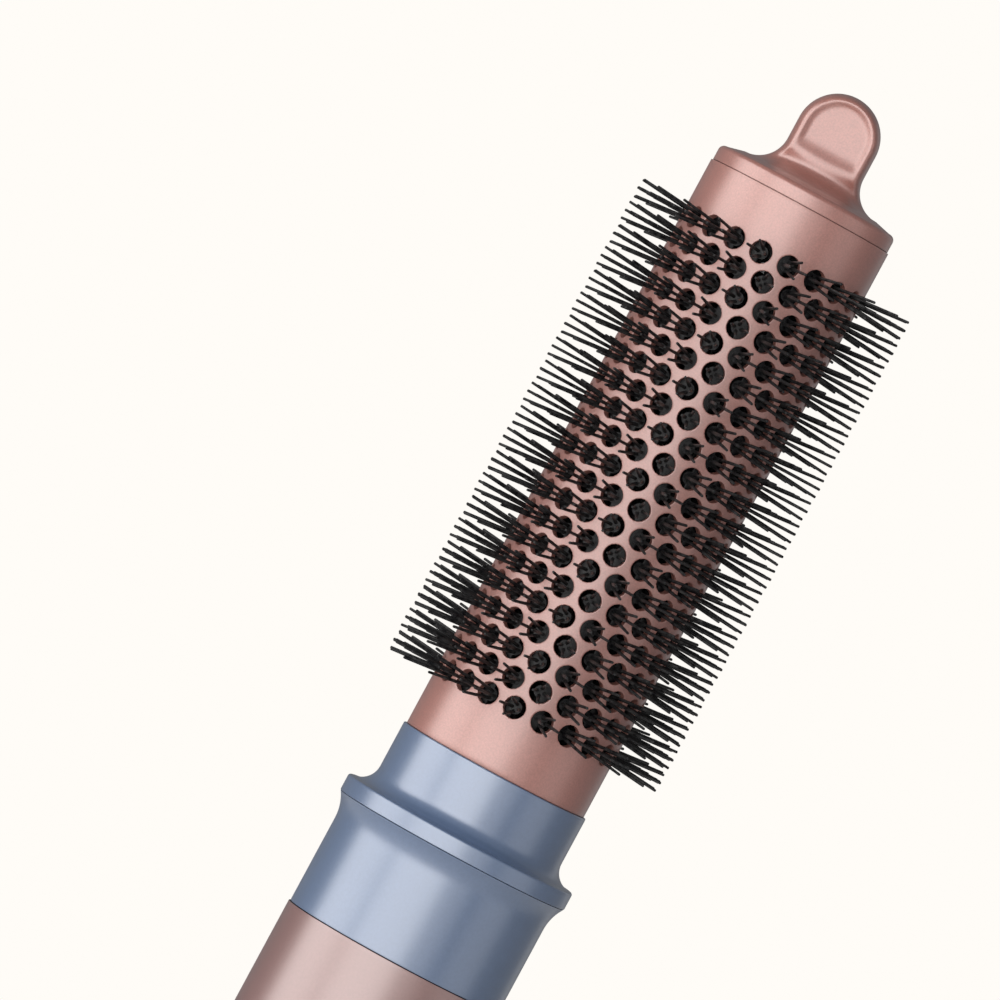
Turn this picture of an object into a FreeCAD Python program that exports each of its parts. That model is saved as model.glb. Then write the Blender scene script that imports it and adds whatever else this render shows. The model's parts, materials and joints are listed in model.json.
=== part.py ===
import FreeCAD, Part
import Sketcher
import math
import os
import re

# Hot air brush: a round ventilated brush head on a blower handle.
# Millimetres.  +Z runs along the axis from the cord to the brush tip, the controls
# face -Y, and the origin is on the axis at the lowest face of the cord gland.

SIZES = [
    # general clearances
    ("seam_gap", 0.1, "gap between pieces that are fixed to each other"),
    ("slip_gap", 0.3, "gap between faces that move past each other"),
    ("shaft_gap", 0.04, "radial clearance of a shaft in its bearing"),
    # handle
    ("handle_radius", 20, "outside of the handle sleeve"),
    ("handle_wall", 2, "wall of the handle sleeve"),
    ("ring_gap", 3.5, "groove around the handle to the control window"),
    ("ring_width", 1, "width of the groove around the handle"),
    ("ring_depth", 0.4, "depth of the groove around the handle"),
    ("edge_round", 0.5, "rounding of the exposed edges"),
    ("chassis_wall", 1.5, "wall of the inner half shells"),
    ("chassis_rib", 2, "thickness of the chassis rib that holds the heater"),
    # filter end
    ("gland_reach", 8, "how far the gland stands out below the filter cage"),
    ("cage_length", 42, "height of the filter cage"),
    ("cage_inset", 1.5, "filter cage below the handle's surface"),
    ("cage_wall", 1.6, "wall of the filter cage"),
    ("cage_slots", 30, "number of inlet slots"),
    ("cage_slot_width", 1.7, "width of an inlet slot"),
    ("cage_margin", 5, "solid band above and below the inlet slots"),
    ("mesh_thickness", 0.5, "filter mesh"),
    ("inlet_gap", 1.8, "gap between the inlet tube and the filter mesh"),
    ("inlet_wall", 1.5, "wall of the inlet tube"),
    ("inlet_plate", 2, "plate that carries the cord gland"),
    ("inlet_step", 0.5, "sleeve's lower edge to the inlet tube's flange"),
    ("flange_thickness", 2.8, "flange of the inlet tube"),
    ("inlet_windows", 8, "number of windows in the inlet tube"),
    ("inlet_window_width", 6, "width of a window"),
    # cord gland
    ("gland_radius", 6, "journal of the gland"),
    ("gland_head_radius", 6.9, "head of the gland"),
    ("gland_bore", 3.6, "radius of the hole for the cord"),
    ("gland_tail", 5, "journal inside the inlet tube"),
    ("clip_thickness", 1, "retaining clip of the gland"),
    ("clip_radius", 8, "outside of the retaining clip"),
    ("clip_groove", 0.7, "depth of the clip's groove"),
    # motor
    ("motor_rise", 10, "sleeve's lower edge to the motor housing"),
    ("motor_length", 30, "length of the motor housing"),
    ("mount_thickness", 2.3, "rubber between the motor and the chassis"),
    ("motor_wall", 1.2, "wall of the motor housing"),
    ("mount_width", 6, "width of a rubber motor mount"),
    ("shaft_radius", 1.5, "motor shaft"),
    ("bearing_radius", 3.5, "outside of a motor bearing"),
    ("bearing_width", 3, "width of a motor bearing"),
    ("stator_length", 14, "length of the stator"),
    ("stator_bore", 6.2, "bore of the stator"),
    ("stator_slots", 6, "number of winding slots"),
    ("impeller_gap", 3.8, "gap between the impeller and the chassis"),
    ("impeller_width", 6, "length of the impeller"),
    ("impeller_rise", 1, "motor housing to the impeller"),
    ("blade_lean", 28, "angle of a blade to the radius, degrees"),
    ("impeller_blades", 9, "number of blades"),
    ("blade_thickness", 0.9, "thickness of a blade"),
    # controls
    ("panel_rise", 4.7, "impeller to the lower edge of the control window"),
    ("panel_margin", 12, "upper button to the upper edge of the control window"),
    ("panel_span", 47, "angle of the control window, degrees"),
    ("panel_play", 1, "angle left open on each side of the bezel, degrees"),
    ("panel_recess", 1.2, "bezel face below the handle's surface"),
    ("slider_rise", 13, "window's lower edge to the middle of the slider's slot"),
    ("slider_width", 6, "width of the power slider"),
    ("slider_length", 8, "length of the power slider"),
    ("slider_travel", 6, "travel of the power slider"),
    ("key_radius", 4, "radius of a push button"),
    ("key_lip", 1, "retaining lip of a push button"),
    ("key_travel", 0.8, "travel of a push button"),
    ("heat_rise", 34, "window's lower edge to the heat button"),
    ("key_pitch", 13, "distance between two push buttons"),
    ("lamp_radius", 0.95, "indicator lens"),
    ("lamp_rise", 24.5, "window's lower edge to the indicators"),
    ("lamp_pitch", 3, "distance between two indicators"),
    ("board_thickness", 1.6, "circuit boards"),
    ("switch_height", 2, "key switch on the control board"),
    ("key_stem", 1.3, "length of a push button's stem"),
    ("main_board_depth", 5, "axis to the face of the main board"),
    # heater
    ("heater_length", 78, "length of the heater tube"),
    ("heater_wall", 0.9, "wall of the heater tube"),
    ("heater_turns", 9, "turns of resistance wire"),
    ("wire_radius", 0.6, "resistance wire"),
    ("coil_gap", 1.8, "gap between the wire's turns and the heater tube"),
    ("frame_thickness", 1, "plates of the heater frame"),
    # spigot and bayonet lock
    ("heater_rise", 2.6, "control window to the heater"),
    ("spigot_wall", 1.8, "wall of the spigot"),
    ("spigot_root", 14, "depth of the spigot inside the handle"),
    ("spigot_reach", 27, "height of the spigot above the handle"),
    ("grille_thickness", 2, "outlet grille"),
    ("grille_slots", 12, "number of slots in the outlet grille"),
    ("lug_count", 3, "bayonet lugs"),
    ("lug_span", 24, "angle of a lug, degrees"),
    ("lug_play", 3, "angle left open on each side of a lug, degrees"),
    ("lug_height", 2.5, "height of a lug"),
    ("lug_reach", 2.2, "radial reach of a lug"),
    ("lug_rise", 6, "handle's top edge to a lug"),
    ("tooth_height", 3, "height of the lock's bayonet teeth"),
    ("spline_width", 3, "width of a key on the spigot"),
    ("spline_height", 4.5, "height of a key on the spigot"),
    ("spline_reach", 1.2, "radial reach of a key on the spigot"),
    # lock sleeve
    ("lock_gap", 0.25, "gap between the handle and the lock sleeve"),
    ("lock_height", 20, "height of the lock sleeve"),
    ("lock_inset", 0.25, "lock sleeve below the handle's surface"),
    ("lock_wall", 2.15, "wall of the lock sleeve"),
    ("lug_clear", 0.4, "gap between a lug and the lock sleeve"),
    ("flare_reach", 1.35, "radial reach of the lock sleeve's flared top"),
    ("flare_height", 4.5, "height of the flare"),
    ("flare_curve", 8.3, "radius of the flare's concave curve"),
    ("bead_height", 1.5, "retaining bead of the collar skirt"),
    ("bead_reach", 0.8, "radial reach of the retaining bead"),
    ("bead_rise", 5.5, "lug's top to the retaining bead"),
    ("skirt_rise", 1, "lug's top to the collar's skirt"),
    # brush collar
    ("flange_proud", 0.1, "flange over the flared top"),
    ("flange_height", 3, "height of the flange's rim"),
    ("neck_proud", 0.45, "collar's neck over the barrel"),
    ("neck_fillet", 4.2, "concave curve between flange and neck"),
    ("neck_height", 15.1, "height of the collar above the lock sleeve"),
    ("ledge_thickness", 1.5, "ledge that carries the barrel"),
    ("seal_thickness", 0.9, "socket seal"),
    ("seal_lap", 0.8, "spigot's bore to the seal's and the ledge's bore"),
    # barrel
    ("barrel_over_spigot", 1.75, "barrel's radius over the spigot's"),
    ("barrel_wall", 1.2, "wall of the barrel"),
    ("vent_margin", 10, "highest hole to the barrel's upper edge"),
    ("tail_inset", 0.85, "barrel end inside the collar, below the barrel's surface"),
    ("barrel_tail_wall", 0.8, "wall of the barrel's end"),
    ("vent_radius", 1.93, "radius of a vent hole"),
    ("vent_pitch", 8.56, "distance between two holes of a column"),
    ("vent_rise", 11.2, "collar's upper edge to the lowest hole"),
    ("vent_rows", 11, "holes in the longer column of a strip"),
    ("strip_count", 20, "bristle strips"),
    ("strip_turn", 6.9, "angle of the first strip from the front, degrees"),
    # bristles
    ("strip_gap", 0.25, "gap between a tuft's seat and the barrel"),
    ("seat_rise", 0.1, "tuft's seat over the strip's spine"),
    ("core_gap", 0.2, "gap between the air core and a strip"),
    ("core_wall", 1.3, "wall of the air core"),
    ("core_slot_width", 1.2, "width of an air slot"),
    ("core_foot", 1.8, "thickness of the core's foot"),
    ("strip_thickness", 1.7, "thickness of a strip's spine"),
    ("strip_width", 2.3, "width of a strip's spine"),
    ("strip_margin", 4.6, "strip's end to its first tuft"),
    ("post_radius", 1.2, "round seat under each tuft"),
    ("tuft_radius", 25.45, "axis to the tips of the bristles"),
    ("pin_root_radius", 0.3, "bristle pin at its root"),
    ("pin_tip_radius", 0.22, "bristle pin at its tip"),
    ("pin_root_offset", 0.55, "pin's root to the middle of its tuft"),
    ("pin_tip_offset", 1.52, "pin's tip to the middle of its tuft"),
    ("ring_height", 5.9, "height of the lower strip ring"),
    # cool tip
    ("plug_depth", 5, "depth of the end plug in the air core"),
    ("plug_flange", 2, "flange of the end plug"),
    ("cap_inset", 0.25, "cap below the barrel's surface"),
    ("cap_seam", 0.1, "gap between the barrel and the cap"),
    ("cap_spigot", 4, "depth of the cap's skirt inside the barrel"),
    ("cap_wall", 2, "wall of the cap"),
    ("rim_height", 2.9, "height of the cap's cylindrical rim"),
    ("rim_ledge", 0.8, "step from the cap's side to its shoulder"),
    ("curve_overlap", 0.7, "how far the shoulder runs under the tab's curve"),
    ("shoulder_rise", 0.7, "rise of the shoulder"),
    ("tab_radius", 7.2, "half width of the finger tab"),
    ("tab_height", 17.4, "height of the tab above the rim"),
    ("tab_thickness", 9, "thickness of the tab"),
    ("tab_curve", 5.4, "concave curve at the tab's foot"),
    ("tab_border", 2.3, "border around the tab's recess"),
    ("tab_recess", 0.8, "depth of the tab's recess"),
    ("dish_drop", 0.8, "tab's curve to the lower edge of the recess"),
    ("screw_radius", 1.2, "tip screw"),
    ("screw_head_radius", 2.2, "head of the tip screw"),
    ("screw_head_height", 1.6, "head height of the tip screw"),
    ("screw_grip", 1, "screw's end above the cap's lower edge"),
]

doc = FreeCAD.newDocument("hot_air_brush")
sheet = doc.addObject("Spreadsheet::Sheet", "Sizes")
for row, (alias, number, note) in enumerate(SIZES, 1):
    sheet.set(f"A{row}", note)
    sheet.set(f"B{row}", str(number))
    sheet.setAlias(f"B{row}", alias)
doc.recompute()

ALIASES = {alias for alias, number, note in SIZES}
DERIVED = {}
PIECES = []


def bound(formula):
    """A formula of size names, written so that the document can follow it."""
    def name(match):
        word = match.group(0)
        if word == "sqrt":
            return word
        return DERIVED[word] if word in DERIVED else f"Sizes.{word}"
    return re.sub(r"[a-z][a-z_]+", name, formula)


def value(formula):
    """The number that a formula of size names gives now."""
    return float(sheet.evalExpression(bound(formula)))


def derive(name, formula):
    """Name a height or radius that follows from the driving sizes."""
    assert name not in ALIASES
    DERIVED[name] = f"({bound(formula)})"


# radii, from the handle's surface inwards
derive("handle_bore", "handle_radius - handle_wall")
derive("chassis_radius", "handle_bore - seam_gap")
derive("chassis_bore", "chassis_radius - chassis_wall")
derive("cage_radius", "handle_radius - cage_inset")
derive("cage_bore", "cage_radius - cage_wall")
derive("inlet_radius", "cage_bore - seam_gap - mesh_thickness - inlet_gap")
derive("motor_radius", "chassis_bore - seam_gap - mount_thickness")
derive("motor_bore", "motor_radius - motor_wall")
derive("impeller_radius", "chassis_bore - impeller_gap")
derive("bezel_radius", "handle_radius - panel_recess")
derive("bezel_bore", "chassis_radius + seam_gap")
derive("lock_radius", "handle_radius - lock_inset")
derive("lock_bore", "lock_radius - lock_wall")
derive("flare_radius", "lock_radius + flare_reach")
derive("flange_radius", "flare_radius + flange_proud")
derive("lug_radius", "lock_bore - lug_clear")
derive("spigot_radius", "lug_radius - lug_reach")
derive("spigot_bore", "spigot_radius - spigot_wall")
derive("heater_radius", "spigot_bore - seam_gap")
derive("heater_bore", "heater_radius - heater_wall")
derive("coil_radius", "heater_bore - coil_gap - wire_radius")
derive("tooth_bore", "spigot_radius + slip_gap")
derive("skirt_radius", "lock_bore - slip_gap")
derive("bead_radius", "skirt_radius + bead_reach")
derive("ledge_bore", "spigot_bore + seal_lap")
derive("barrel_radius", "spigot_radius + barrel_over_spigot")
derive("barrel_bore", "barrel_radius - barrel_wall")
derive("barrel_tail_radius", "barrel_radius - tail_inset")
derive("neck_radius", "barrel_radius + neck_proud")
derive("strip_back", "barrel_bore - strip_gap - seat_rise - strip_thickness")
derive("core_radius", "strip_back - core_gap")
derive("core_bore", "core_radius - core_wall")
derive("ring_bore", "core_radius + seam_gap")
derive("ring_radius", "barrel_bore - 1.5 * seam_gap")
derive("cap_radius", "barrel_radius - cap_inset")
derive("shoulder_outer", "cap_radius - rim_ledge")
derive("shoulder_inner", "tab_radius + tab_curve - curve_overlap")

# heights, from the gland up
derive("cage_bottom", "gland_reach")
derive("cage_top", "cage_bottom + cage_length")
derive("cage_floor", "cage_bottom + cage_wall")
derive("sleeve_bottom", "cage_top + slip_gap")
derive("inlet_floor", "cage_floor + slip_gap")
derive("inlet_flange", "sleeve_bottom + inlet_step")
derive("inlet_top", "inlet_flange + flange_thickness")
derive("chassis_bottom", "inlet_top + seam_gap")
derive("motor_bottom", "sleeve_bottom + motor_rise")
derive("motor_top", "motor_bottom + motor_length")
derive("impeller_bottom", "motor_top + impeller_rise")
derive("impeller_top", "impeller_bottom + impeller_width")
derive("panel_bottom", "impeller_top + panel_rise")
derive("panel_top", "panel_bottom + heat_rise + 2 * key_pitch + panel_margin")
derive("heater_bottom", "panel_top + heater_rise")
derive("heater_top", "heater_bottom + heater_length")
derive("grille_bottom", "heater_top + seam_gap")
derive("spigot_top", "grille_bottom + grille_thickness + 3 * seam_gap")
derive("handle_length", "spigot_top - spigot_reach")
derive("spigot_bottom", "handle_length - spigot_root")
derive("chassis_top", "spigot_bottom - seam_gap")
derive("lug_bottom", "handle_length + lug_rise")
derive("lug_top", "lug_bottom + lug_height")
derive("spline_top", "spigot_top - slip_gap")
derive("lock_bottom", "handle_length + lock_gap")
derive("lock_top", "lock_bottom + lock_height")
derive("tooth_top", "lug_bottom - slip_gap")
derive("skirt_bottom", "lug_top + skirt_rise")
derive("bead_bottom", "lug_top + bead_rise")
derive("collar_bottom", "lock_top + seam_gap")
derive("neck_top", "lock_top + neck_height")
derive("ledge_bottom", "spigot_top + 2 * seam_gap + seal_thickness")
derive("ledge_top", "ledge_bottom + ledge_thickness")
derive("barrel_step", "neck_top + seam_gap")
derive("vent_bottom", "neck_top + vent_rise")
derive("vent_top", "vent_bottom + (vent_rows - 1) * vent_pitch")
derive("barrel_top", "vent_top + vent_margin")
derive("strip_bottom", "vent_bottom - strip_margin")
derive("strip_top", "vent_top + strip_margin")
derive("cap_foot", "barrel_top - cap_spigot")
derive("core_top", "cap_foot - plug_flange")
derive("cap_bottom", "barrel_top + cap_seam")
derive("rim_top", "cap_bottom + rim_height")
derive("shoulder_top", "rim_top + shoulder_rise")
derive("tab_top", "rim_top + tab_height")
derive("tab_middle", "tab_top - tab_radius")
derive("dish_bottom", "shoulder_top + tab_curve - dish_drop")


# ---------------------------------------------------------------- helpers

def piece(item, name):
    """Register a finished object as one sub-part."""
    item.Label = name
    PIECES.append(item)
    return item


def new_body(name):
    return doc.addObject("PartDesign::Body", name)


def plane_of(body, role):
    return next(item for item in body.Origin.OriginFeatures if item.Role == role)


def pin_point(sketch, element, corner, formulas):
    """Bind one sketch point to its two formulas."""
    for kind, axis, formula in zip(("DistanceX", "DistanceY"), (-2, -1), formulas):
        if formula == "0":
            sketch.addConstraint(Sketcher.Constraint("PointOnObject", element, corner, axis))
            continue
        rule = Sketcher.Constraint(kind, -1, 1, element, corner, value(formula))
        number = sketch.addConstraint(rule)
        sketch.setExpression(f"Constraints[{number}]", bound(formula))


def arc_between(start, end, radius):
    """Arc from start to end; a positive radius turns left, a negative one right."""
    chord = end - start
    middle = (start + end) * 0.5
    left = FreeCAD.Vector(-chord.y, chord.x, 0).normalize()
    rise = math.sqrt(max(radius * radius - chord.Length ** 2 / 4, 0))
    centre = middle + left * (rise if radius > 0 else -rise)
    circle = Part.Circle(centre, FreeCAD.Vector(0, 0, 1), abs(radius))
    first, last = (start, end) if radius > 0 else (end, start)
    angles = [math.atan2(p.y - centre.y, p.x - centre.x) for p in (first, last)]
    if angles[1] < angles[0]:
        angles[1] += 2 * math.pi
    return Part.ArcOfCircle(circle, angles[0], angles[1])


def outline(body, role, points, name, arcs=()):
    """Closed sketch through points; arcs maps a side's number to its signed radius."""
    arcs = dict(arcs)
    sketch = body.newObject("Sketcher::SketchObject", name)
    sketch.AttachmentSupport = (plane_of(body, role), "")
    sketch.MapMode = "FlatFace"
    corners = [FreeCAD.Vector(value(a), value(b), 0) for a, b in points]
    count = len(corners)
    starts = []
    for side in range(count):
        start, end = corners[side], corners[(side + 1) % count]
        if side in arcs:
            sign = -1 if arcs[side].startswith("-") else 1
            radius = value(arcs[side].lstrip("-"))
            sketch.addGeometry(arc_between(start, end, sign * radius), False)
            starts.append(1 if sign > 0 else 2)
            rule = Sketcher.Constraint("Radius", side, radius)
            number = sketch.addConstraint(rule)
            sketch.setExpression(f"Constraints[{number}]", bound(arcs[side].lstrip("-")))
        else:
            sketch.addGeometry(Part.LineSegment(start, end), False)
            starts.append(1)
    for side in range(count):
        after = (side + 1) % count
        rule = Sketcher.Constraint("Coincident", side, 3 - starts[side], after, starts[after])
        sketch.addConstraint(rule)
    for side in range(count):
        pin_point(sketch, side, starts[side], points[side])
    return sketch


def circles(body, role, centres, radius, name):
    """Sketch of equal circles at the given centres."""
    sketch = body.newObject("Sketcher::SketchObject", name)
    sketch.AttachmentSupport = (plane_of(body, role), "")
    sketch.MapMode = "FlatFace"
    for number, (across, along) in enumerate(centres):
        middle = FreeCAD.Vector(value(across), value(along), 0)
        shape = Part.Circle(middle, FreeCAD.Vector(0, 0, 1), value(radius))
        sketch.addGeometry(shape, False)
        rule = Sketcher.Constraint("Radius", number, value(radius))
        sketch.setExpression(f"Constraints[{sketch.addConstraint(rule)}]", bound(radius))
        pin_point(sketch, number, 3, (across, along))
    return sketch


def revolve(body, points, name="profile", arcs=(), role="XZ_Plane", span=None):
    """Turn an outline about the axis, fully or through a span centred on its plane."""
    sketch = outline(body, role, points, name, arcs)
    turned = body.newObject("PartDesign::Revolution", name + "_turned")
    turned.Profile = sketch
    turned.ReferenceAxis = (sketch, ["V_Axis"])
    if span:
        turned.Midplane = True
        turned.setExpression("Angle", bound(span))
    body.Tip = turned
    return turned


def groove(body, points, name, span, role="XZ_Plane"):
    """Cut an outline turned about the axis through a span centred on its plane."""
    sketch = outline(body, role, points, name)
    cut = body.newObject("PartDesign::Groove", name + "_cut")
    cut.Profile = sketch
    cut.ReferenceAxis = (sketch, ["V_Axis"])
    cut.Midplane = True
    cut.setExpression("Angle", bound(span))
    body.Tip = cut
    return cut


def cut_through(body, sketch, depth=None, towards_front=False):
    """Pocket from a sketch's plane to one side, and prove that it removes material."""
    doc.recompute()
    before = body.Shape.Volume
    cut = body.newObject("PartDesign::Pocket", sketch.Name + "_cut")
    cut.Profile = sketch
    cut.Reversed = towards_front
    if depth:
        cut.setExpression("Length", bound(depth))
    else:
        cut.Type = "ThroughAll"
    body.Tip = cut
    doc.recompute()
    assert body.Shape.Volume < before - 0.01, body.Name
    return cut


def pad_both_ways(body, sketch, thickness):
    """Pad centred on the sketch's plane."""
    pad = body.newObject("PartDesign::Pad", sketch.Name + "_pad")
    pad.Profile = sketch
    pad.setExpression("Length", bound(thickness))
    pad.Midplane = True
    body.Tip = pad
    return pad


def around(body, feature, count, axis="V_Axis"):
    """Repeat a feature evenly around the axis."""
    ring = body.newObject("PartDesign::PolarPattern", feature.Name + "_ring")
    ring.Originals = [feature]
    ring.Axis = (feature.Profile[0], [axis])
    ring.Angle = 360
    ring.setExpression("Occurrences", bound(count))
    body.Tip = ring
    doc.recompute()
    return ring


def round_edges(body, radius, corners):
    """Fillet the circular edges that lie at the given (radius, height) corners."""
    doc.recompute()
    base = body.Tip
    names = []
    for number, edge in enumerate(base.Shape.Edges, 1):
        curve = edge.Curve
        if not isinstance(curve, Part.Circle):
            continue
        for across, height in corners:
            near = abs(curve.Radius - value(across)) < 0.01
            if near and abs(curve.Center.z - value(height)) < 0.01:
                names.append(f"Edge{number}")
    assert names, body.Name
    soft = body.newObject("PartDesign::Fillet", "soft_edges")
    soft.Base = (base, names)
    soft.setExpression("Radius", bound(radius))
    body.Tip = soft
    return soft


def tube_outline(bore, radius, bottom, top):
    return [(bore, bottom), (radius, bottom), (radius, top), (bore, top)]


def tube(name, bore, radius, bottom, top):
    """A plain ring or tube as one sub-part."""
    body = new_body(name)
    revolve(body, tube_outline(bore, radius, bottom, top))
    return piece(body, name)


def block(name, low, high):
    """Box between two corners given as formulas."""
    box = doc.addObject("Part::Box", name)
    for side, axis, bottom, top in zip(("Length", "Width", "Height"), "xyz", low, high):
        box.setExpression(side, bound(f"({top}) - ({bottom})"))
        box.setExpression(f"Placement.Base.{axis}", bound(bottom))
    return box


def joined(name, items):
    """Fuse several objects into one solid."""
    whole = doc.addObject("Part::MultiFuse", name)
    whole.Shapes = items
    return whole


def group(name, shapes):
    """Identical separate solids that share one node."""
    item = doc.addObject("Part::Feature", name)
    item.Shape = Part.makeCompound(shapes)
    return piece(item, name)


# ---------------------------------------------------------------- filter end

def make_filter_cage():
    body = new_body("filter_cage")
    revolve(body, [
        ("gland_head_radius + slip_gap", "cage_bottom"), ("cage_radius", "cage_bottom"),
        ("cage_radius", "cage_top"), ("cage_bore", "cage_top"),
        ("cage_bore", "cage_floor"), ("gland_head_radius + slip_gap", "cage_floor")])
    round_edges(body, "edge_round", [("cage_radius", "cage_bottom")])
    slot = outline(body, "XZ_Plane", [
        ("-cage_slot_width / 2", "cage_bottom + cage_margin"),
        ("cage_slot_width / 2", "cage_bottom + cage_margin"),
        ("cage_slot_width / 2", "cage_top - cage_margin"),
        ("-cage_slot_width / 2", "cage_top - cage_margin")], "inlet_slot")
    around(body, cut_through(body, slot), "cage_slots")
    piece(body, "filter_cage")
    tube("filter_mesh", "cage_bore - seam_gap - mesh_thickness", "cage_bore - seam_gap",
         "cage_floor + seam_gap", "cage_top - seam_gap")


def make_inlet_tube():
    body = new_body("inlet_tube")
    revolve(body, [
        ("gland_radius + slip_gap / 2", "inlet_floor"), ("inlet_radius", "inlet_floor"),
        ("inlet_radius", "inlet_flange"), ("chassis_radius", "inlet_flange"),
        ("chassis_radius", "inlet_top"), ("inlet_radius - inlet_wall", "inlet_top"),
        ("inlet_radius - inlet_wall", "inlet_floor + inlet_plate"),
        ("gland_radius + slip_gap / 2", "inlet_floor + inlet_plate")])
    window = outline(body, "XZ_Plane", [
        ("-inlet_window_width / 2", "inlet_floor + cage_margin"),
        ("inlet_window_width / 2", "inlet_floor + cage_margin"),
        ("inlet_window_width / 2", "cage_top - cage_margin"),
        ("-inlet_window_width / 2", "cage_top - cage_margin")], "inlet_window")
    around(body, cut_through(body, window), "inlet_windows")
    piece(body, "inlet_tube")


def make_cord_gland():
    derive("clip_bottom", "inlet_floor + inlet_plate + slip_gap")
    derive("clip_top", "clip_bottom + clip_thickness")
    derive("groove_radius", "gland_radius - clip_groove")
    derive("gland_top", "inlet_floor + inlet_plate + gland_tail")
    derive("head_top", "inlet_floor - slip_gap / 2")
    body = new_body("cord_gland")
    revolve(body, [
        ("gland_bore", "0"), ("gland_head_radius", "0"), ("gland_head_radius", "head_top"),
        ("gland_radius", "head_top"), ("gland_radius", "clip_bottom"),
        ("groove_radius", "clip_bottom"), ("groove_radius", "clip_top"),
        ("gland_radius", "clip_top"), ("gland_radius", "gland_top"),
        ("gland_bore", "gland_top")])
    round_edges(body, "edge_round", [("gland_head_radius", "0")])
    piece(body, "cord_gland")
    tube("gland_clip", "groove_radius + shaft_gap", "clip_radius",
         "clip_bottom + shaft_gap", "clip_top - shaft_gap")


# ---------------------------------------------------------------- handle

def make_handle_sleeve():
    body = new_body("handle_sleeve")
    derive("grip_top", "panel_bottom - ring_gap - ring_width")
    revolve(body, [
        ("handle_bore", "sleeve_bottom"), ("handle_radius", "sleeve_bottom"),
        ("handle_radius", "grip_top"), ("handle_radius - ring_depth", "grip_top"),
        ("handle_radius - ring_depth", "grip_top + ring_width"),
        ("handle_radius", "grip_top + ring_width"), ("handle_radius", "handle_length"),
        ("handle_bore", "handle_length")])
    round_edges(body, "edge_round", [("handle_radius", "sleeve_bottom")])
    groove(body, tube_outline("-handle_radius - 1", "-handle_bore + 1",
                              "panel_bottom", "panel_top"),
           "window", "panel_span", role="YZ_Plane")
    piece(body, "handle_sleeve")


def make_chassis():
    ribbed = [
        ("chassis_radius", "chassis_bottom"), ("chassis_radius", "chassis_top"),
        ("chassis_bore", "chassis_top"), ("chassis_bore", "heater_bottom + chassis_rib"),
        ("heater_radius + seam_gap", "heater_bottom + chassis_rib"),
        ("heater_radius + seam_gap", "heater_bottom"),
        ("chassis_bore", "heater_bottom"), ("chassis_bore", "chassis_bottom")]
    for name, sign in (("chassis_front", "-"), ("chassis_rear", "")):
        body = new_body(name)
        revolve(body, [(sign + across if sign == "" else f"-({across})", height)
                       for across, height in ribbed], role="YZ_Plane", span="180 - panel_play")
        if name == "chassis_front":
            opening = outline(body, "XZ_Plane", [
                ("-chassis_radius / 2", "panel_bottom + 2"), ("chassis_radius / 2", "panel_bottom + 2"),
                ("chassis_radius / 2", "panel_top - 2"), ("-chassis_radius / 2", "panel_top - 2")],
                "opening")
            cut_through(body, opening, towards_front=True)
        piece(body, name)


# ---------------------------------------------------------------- motor

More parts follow.
